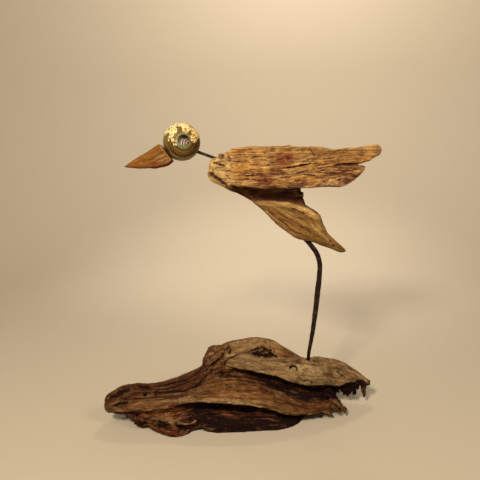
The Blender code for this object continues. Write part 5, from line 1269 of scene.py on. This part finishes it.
class MakeHead(bpy.types.Operator):
    """Turn the ball and lay its crust"""
    bl_idname = "driftwood.head"
    bl_label = "Head"

    def execute(self, context):
        use = context.scene.driftwood_head
        look = float_look(use)
        size = BALL_R - 0.45
        start = math.asin((BORE_R + 1.0) / size)
        outline = [(BORE_R, -size * math.cos(start) + 1.4), (BORE_R, 0), (BORE_R, size * math.cos(start) - 1.4),
                   (BORE_R + 0.3, size * math.cos(start) - 0.4)]
        for a in np.linspace(start, math.pi - start, 130):
            cut = 0.9 * math.exp(-((math.degrees(a) - 55.5) / 1.5) ** 2)
            cut += 0.5 * math.exp(-((math.degrees(a) - 36.0) / 0.9) ** 2)
            cut += 0.14 * (1 + math.sin(math.degrees(a) * 1.9)) * band(np.array([math.degrees(a)]), 24, 70, 5)[0]
            outline.append(((size - cut) * math.sin(a), (size - cut) * math.cos(a)))
        outline.append((BORE_R + 0.3, -size * math.cos(start) + 0.4))
        obj = turned("head_ball", outline, look)
        mesh = obj.data
        p = read(mesh)
        d = (p - np.array(BALL_AT)) / BALL_R
        right, up, ahead = (np.array(v) for v in camera_axes())
        seen = np.column_stack([d @ right, d @ up, -(d @ ahead)])
        crust = np.zeros(len(p))
        for u, v, reach in ((-0.62, 0.62, 0.40), (-0.36, 0.45, 0.26), (0.02, 0.93, 0.42), (0.34, 0.66, 0.30),
                            (0.80, 0.38, 0.32), (0.74, 0.06, 0.25), (-0.42, 0.18, 0.16), (0.30, 0.42, 0.16)):
            w = math.sqrt(max(0.0, 1 - u * u - v * v))
            far = np.linalg.norm(seen - np.array((u, v, w)), axis=1)
            crust = np.maximum(crust, 1 - step(far, reach * 0.6, reach * 1.3))
        behind = step(-seen[:, 2], 0.0, 0.5) * step(seen[:, 1], -0.1, 0.4)
        crust = np.maximum(crust, 0.9 * behind)
        ragged = 0.6 * cloud(p * 0.16, 15) + 0.9 * cloud(p * 0.45, 18, 2) + 0.8 * cloud(p * 1.0, 19, 1)
        crust = np.clip(crust + 0.55 * ragged, 0, 1) * step(crust, 0.02, 0.25)
        for u, v, reach in ((-0.30, -0.30, 0.08), (-0.17, -0.30, 0.07), (0.14, -0.30, 0.07), (0.30, -0.20, 0.08),
                            (-0.56, 0.14, 0.12), (-0.36, -0.08, 0.12), (-0.20, -0.14, 0.08), (-0.62, -0.04, 0.09), (-0.47, 0.02, 0.07)):
            w = math.sqrt(1 - u * u - v * v)
            far = np.linalg.norm(seen - np.array((u, v, w)), axis=1) * (1 + 0.4 * cloud(p * 0.8, 20, 1))
            crust = np.maximum(crust, 1 - step(far, reach * 0.6, reach))
        seat = step(d @ np.array(BEAK_SEAT), 0.80, 0.90)
        crust *= 1 - seat
        thick = step(crust, 0.42, 0.58)
        outward = d / np.maximum(np.linalg.norm(d, axis=1), 1e-6)[:, None]
        lift = 0.42 * thick * (0.55 + 0.45 * cloud(p * 0.6, 25, 2)) * step(np.linalg.norm(d, axis=1), 0.9, 0.95)
        p = p + outward * lift[:, None]
        toward = (p - np.array(BALL_AT)) @ np.array(BEAK_SEAT)
        p = p - np.maximum(toward - 28.5, 0)[:, None] * np.array(BEAK_SEAT)
        write(mesh, p)
        axis = d @ np.array(BORE_AXIS)
        radial = np.linalg.norm(d - axis[:, None] * np.array(BORE_AXIS), axis=1) * BALL_R
        keep(mesh, "turn", axis * BALL_R)
        keep(mesh, "crust", crust)
        keep(mesh, "peach", step(seen[:, 0], 0.15, 0.5))
        rim = band(radial, BORE_R - 2, 12.2, 0.5) * step(axis, 0, 0.3)
        lime = rim * (0.45 + 0.45 * step(-seen[:, 0] - seen[:, 1], -0.1, 0.4))
        # Painted reflection: a teal-green sheen along the ball's left edge, in the lime colour.
        lime += 0.35 * step(-seen[:, 0], 0.6, 0.9) * step(seen[:, 1], -0.35, 0.1)
        keep(mesh, "lime", np.clip(lime, 0, 1))
        turned_at = np.degrees(np.arccos(np.clip(axis / np.maximum(np.linalg.norm(d, axis=1), 0.1), -1, 1)))
        rings = 0.75 * band(turned_at, 30, 34, 0.8) + 0.7 * band(turned_at, 38.5, 42.5, 0.8)
        # The ring at 52 to 57 degrees is painted shade in a turned groove, kept to the ball's lower part. The rings
        # are kept to the lower half a few lines down.
        rings += 0.6 * band(turned_at, 46, 49, 0.7) + 1.3 * band(turned_at, 52, 57, 1.0) * step(-seen[:, 1], 0.4, 0.7)
        # gold: lighter turned bands, and at 58 to 74 degrees a paler lower rim that is partly painted bounce light,
        # kept to the lower half.
        gold = band(turned_at, 35, 38, 0.7) + 0.8 * band(turned_at, 43, 45.5, 0.7) + 1.1 * band(turned_at, 58, 74, 2)
        below = step(-seen[:, 1], -0.1, 0.35)
        # Painted contact shadow on the ball next to the beak, laid in the ring attribute.
        beak_shadow = step(d @ np.array(BEAK_SEAT), 0.62, 0.80) * step(-seen[:, 1], 0.20, 0.48)
        rings = rings * below * (0.75 + 0.5 * cloud(p * 0.12, 77, 2)) + 0.95 * beak_shadow
        keep(mesh, "ring", np.clip(rings, 0, 0.95))
        gold *= below * step(-np.abs(seen[:, 0] - 0.05), -0.75, -0.35)
        keep(mesh, "gold", np.clip(gold * (0.55 + 0.5 * cloud(p * 0.12, 78, 2)), 0, 0.8))
        # The patch on the right is a stain. The patch on the lower left is painted contact shadow by the beak, and the
        # last term darkens the lower half with painted shade.
        shade = 0.8 * patch(seen, (0.82, -0.18, 0.5), (0.34, 0.24, 0.6)) + 0.9 * patch(
            seen, (-0.60, -0.66, 0.3), (0.50, 0.32, 0.7)) + 0.45 * below * band(turned_at, 30, 54, 3)
        keep(mesh, "dark", np.clip(shade, 0, 0.9))
        scatter = new_object("head_crust", mesh.copy())
        hand_over(obj, "olive_float", look, "head_float")
        density = mesh.attributes.new("copied", "FLOAT", "POINT")
        scatter.data.attributes["crust"].data.foreach_set("value", (thick * (1 - seat)).astype(np.float32))
        mesh.attributes.remove(density)
        cream = crust_look(use)
        run_tree(scatter, flake_tree(), {"Per Square Metre": 360000.0 * use.flakes, "Size": 0.00115,
                                         "Seed": use.seed, "Material": cream})
        flakes = read(scatter.data)
        toward = (flakes - np.array(BALL_AT)) @ np.array(BEAK_SEAT)
        flakes -= np.maximum(toward - 28.4, 0)[:, None] * np.array(BEAK_SEAT)
        write(scatter.data, flakes)
        hand_over(scatter, "olive_float", cream, "head_float")
        return {"FINISHED"}


def crust_look(use):
    look, tree, shader = new_material("yellow_crust")
    place = add(tree, "ShaderNodeTexCoord").outputs["Object"]
    wide = add(tree, "ShaderNodeTexNoise", {"Vector": place, "Scale": 330.0, "Detail": 2.0}).outputs["Fac"]
    grit = add(tree, "ShaderNodeTexNoise", {"Vector": place, "Scale": 700.0, "Detail": 4.0}).outputs["Fac"]
    across = add(tree, "ShaderNodeSeparateXYZ", {0: place}).outputs[0]
    side = ramp(tree, across, -0.079, -0.068)
    colour = mix(tree, side, use.cream, use.peach)
    colour = mix(tree, math_node(tree, "MULTIPLY", ramp(tree, wide, 0.42, 0.62), 0.7), colour,
                 [c * k for c, k in zip(use.cream, (0.86, 0.78, 0.50))])
    colour = mix(tree, math_node(tree, "MULTIPLY", ramp(tree, grit, 0.55, 0.7), 0.4), colour, use.brown)
    tone = attribute(tree, "tone")[1]
    colour = mix(tree, math_node(tree, "MULTIPLY", ramp(tree, tone, 0.45, 0.7), 0.75), colour,
                 [c * k for c, k in zip(use.cream, (0.68, 0.50, 0.20))])
    colour = mix(tree, math_node(tree, "MULTIPLY", ramp(tree, tone, 0.74, 0.80), 0.95), colour, [c * 1.3 for c in use.olive])
    tree.links.new(colour, shader.inputs["Base Color"])
    shader.inputs["Roughness"].default_value = 0.55
    bump = add(tree, "ShaderNodeBump", {"Strength": 0.7, "Distance": 0.0004, "Height": grit})
    tree.links.new(bump.outputs[0], shader.inputs["Normal"])
    return look


class MakeEye(bpy.types.Operator):
    """Shape the ridged filling of the eye"""
    bl_idname = "driftwood.eye"
    bl_label = "Eye"

    def execute(self, context):
        use = context.scene.driftwood_head
        obj = skin_of("eye_ridges", "eye_insert", 0.00042, 2)
        mesh = obj.data
        p, n = read(mesh), read(mesh, "normal")
        right, up, ahead = (np.array(v) for v in camera_axes())
        d = p - np.array(EYE_AT)
        u, v = d @ right, d @ up
        arc = np.hypot(u - 9.0, v + 3.0)
        ridge = 0.5 + 0.5 * np.sin(arc * 2 * math.pi / 3.6)
        face = step(n @ np.array(BORE_AXIS), 0.45, 0.75)
        write(mesh, p - n * (0.7 * (1 - ridge) * face)[:, None])
        # Painted light: the ridges are made lighter towards the upper part of the eye, where the bore's rim casts its
        # shadow.
        keep(mesh, "ridge", ridge * face * (0.40 + 0.60 * step(v, -6.5, -1.0)))
        keep(mesh, "edge", step(np.hypot(u, v), 4.8, 7.2) * (0.25 + 0.75 * step(-u - v, -1.0, 5.0)))
        look, tree, shader = new_material("ridged_grey")
        place = add(tree, "ShaderNodeTexCoord").outputs["Object"]
        grit = add(tree, "ShaderNodeTexNoise", {"Vector": place, "Scale": 500.0, "Detail": 4.0}).outputs["Fac"]
        colour = mix(tree, attribute(tree, "ridge")[1], [c * 0.20 for c in use.mauve], [c * 1.5 for c in use.mauve])
        colour = mix(tree, math_node(tree, "MULTIPLY", attribute(tree, "edge")[1], 0.9), colour, (0.11, 0.17, 0.12))
        tree.links.new(colour, shader.inputs["Base Color"])
        shader.inputs["Metallic"].default_value = 0.1
        tree.links.new(math_node(tree, "ADD", math_node(tree, "MULTIPLY", grit, 0.3), 0.12),
                       shader.inputs["Roughness"])
        bump = add(tree, "ShaderNodeBump", {"Strength": 0.4, "Distance": 0.0003, "Height": grit})
        tree.links.new(bump.outputs[0], shader.inputs["Normal"])
        hand_over(obj, "grey_metal", look, "eye_insert")
        return {"FINISHED"}


class MakeStage(bpy.types.Operator):
    """Set the floor, the lamps and the camera"""
    bl_idname = "driftwood.stage"
    bl_label = "Stage"

    def execute(self, context):
        use = context.scene.driftwood_stage
        scene = context.scene
        sweep = [(0.0, 0.0), (1.0, 0.0)] + [(1.0 + 0.7 * math.sin(a), 0.7 - 0.7 * math.cos(a))
                                            for a in np.linspace(0.1, math.pi / 2, 14)] + [(1.7, 3.0)]
        mesh = bpy.data.meshes.new("floor")
        mesh.from_pydata([(r, 0, z) for r, z in sweep], [(i, i + 1) for i in range(len(sweep) - 1)], [])
        floor = new_object("floor", mesh)
        spin = floor.modifiers.new("spin", "SCREW")
        spin.steps = spin.render_steps = 96
        spin.use_merge_vertices = True
        mesh = settle(floor).data
        mesh.shade_smooth()
        look, _, shader = new_material("plain_floor")
        shader.inputs["Base Color"].default_value = (*use.floor, 1.0)
        shader.inputs["Roughness"].default_value = 0.85
        mesh.materials.append(look)
        world = bpy.data.worlds.new("soft_light")
        scene.world = world
        world.use_nodes = True
        world.node_tree.nodes["Background"].inputs[0].default_value = (1.0, 0.86, 0.66, 1.0)
        world.node_tree.nodes["Background"].inputs[1].default_value = use.sky
        for name, at, to, size, power, tint in (
                ("key", (-0.42, -0.98, 1.24), (0.03, 0.0, 0.22), 0.26, use.key, (1.0, 0.83, 0.60)),
                ("side", (0.85, -0.70, 1.15), (0.03, 0.0, 0.22), 0.45, use.side, (1.0, 0.84, 0.64)),
                ("wall", (0.20, 0.85, 1.45), (0.16, 1.70, 0.42), 0.40, use.wall, (1.0, 0.86, 0.68))):
            lamp = bpy.data.lights.new(name, "AREA")
            lamp.size, lamp.energy, lamp.color = size, power, tint
            held = new_object(name, lamp)
            held.location = at
            held.rotation_euler = (Vector(to) - held.location).to_track_quat("-Z", "Y").to_euler()
        halo = bpy.data.lights.new("halo", "SPOT")
        halo.energy, halo.color, halo.shadow_soft_size = use.halo, (1.0, 0.88, 0.72), 0.1
        halo.spot_size, halo.spot_blend = math.radians(58), 1.0
        held = new_object("halo", halo)
        held.location = (0.10, 0.84, 1.50)
        camera = bpy.data.cameras.new("camera")
        camera.sensor_width, camera.lens = 36.0, 36.0
        held = new_object("camera", camera)
        right, up, ahead = camera_axes()
        held.matrix_world = Matrix.Translation(CAMERA_AT) @ Matrix((right, up, -ahead)).transposed().to_4x4()
        scene.camera = held
        scene.view_settings.view_transform = "Standard"
        return {"FINISHED"}


class DriftwoodPanel(bpy.types.Panel):
    """Lists the pieces of the driftwood bird"""
    bl_idname = "VIEW3D_PT_driftwood"
    bl_label = "Driftwood bird"
    bl_space_type = "VIEW_3D"
    bl_region_type = "UI"
    bl_category = "Driftwood"

    def draw(self, context):
        for settings, makers in SECTIONS:
            box = self.layout.box()
            group = getattr(context.scene, settings)
            for name in group.__annotations__:
                box.prop(group, name)
            for maker in makers:
                box.operator(maker.bl_idname)


SECTIONS = (
    ("driftwood_root", (MakeRoot,)),
    ("driftwood_bird", (MakeWings, MakeBody, MakeBeak)),
    ("driftwood_iron", (MakeIron, MakeNails)),
    ("driftwood_head", (MakeHead, MakeEye)),
    ("driftwood_stage", (MakeStage,)),
)
GROUPS = (RootSettings, BirdSettings, IronSettings, HeadSettings, StageSettings)


def register():
    for group in GROUPS:
        bpy.utils.register_class(group)
    for (settings, makers), group in zip(SECTIONS, GROUPS):
        setattr(bpy.types.Scene, settings, PointerProperty(type=group))
        for maker in makers:
            bpy.utils.register_class(maker)
    bpy.utils.register_class(DriftwoodPanel)


def unregister():
    bpy.utils.unregister_class(DriftwoodPanel)
    for (settings, makers), group in zip(SECTIONS, GROUPS):
        for maker in makers:
            bpy.utils.unregister_class(maker)
        delattr(bpy.types.Scene, settings)
        bpy.utils.unregister_class(group)


def main():
    register()
    for _, makers in SECTIONS:
        for maker in makers:
            group, name = maker.bl_idname.split(".")
            getattr(getattr(bpy.ops, group), name)()
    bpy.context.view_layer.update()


if __name__ == "__main__":
    main()
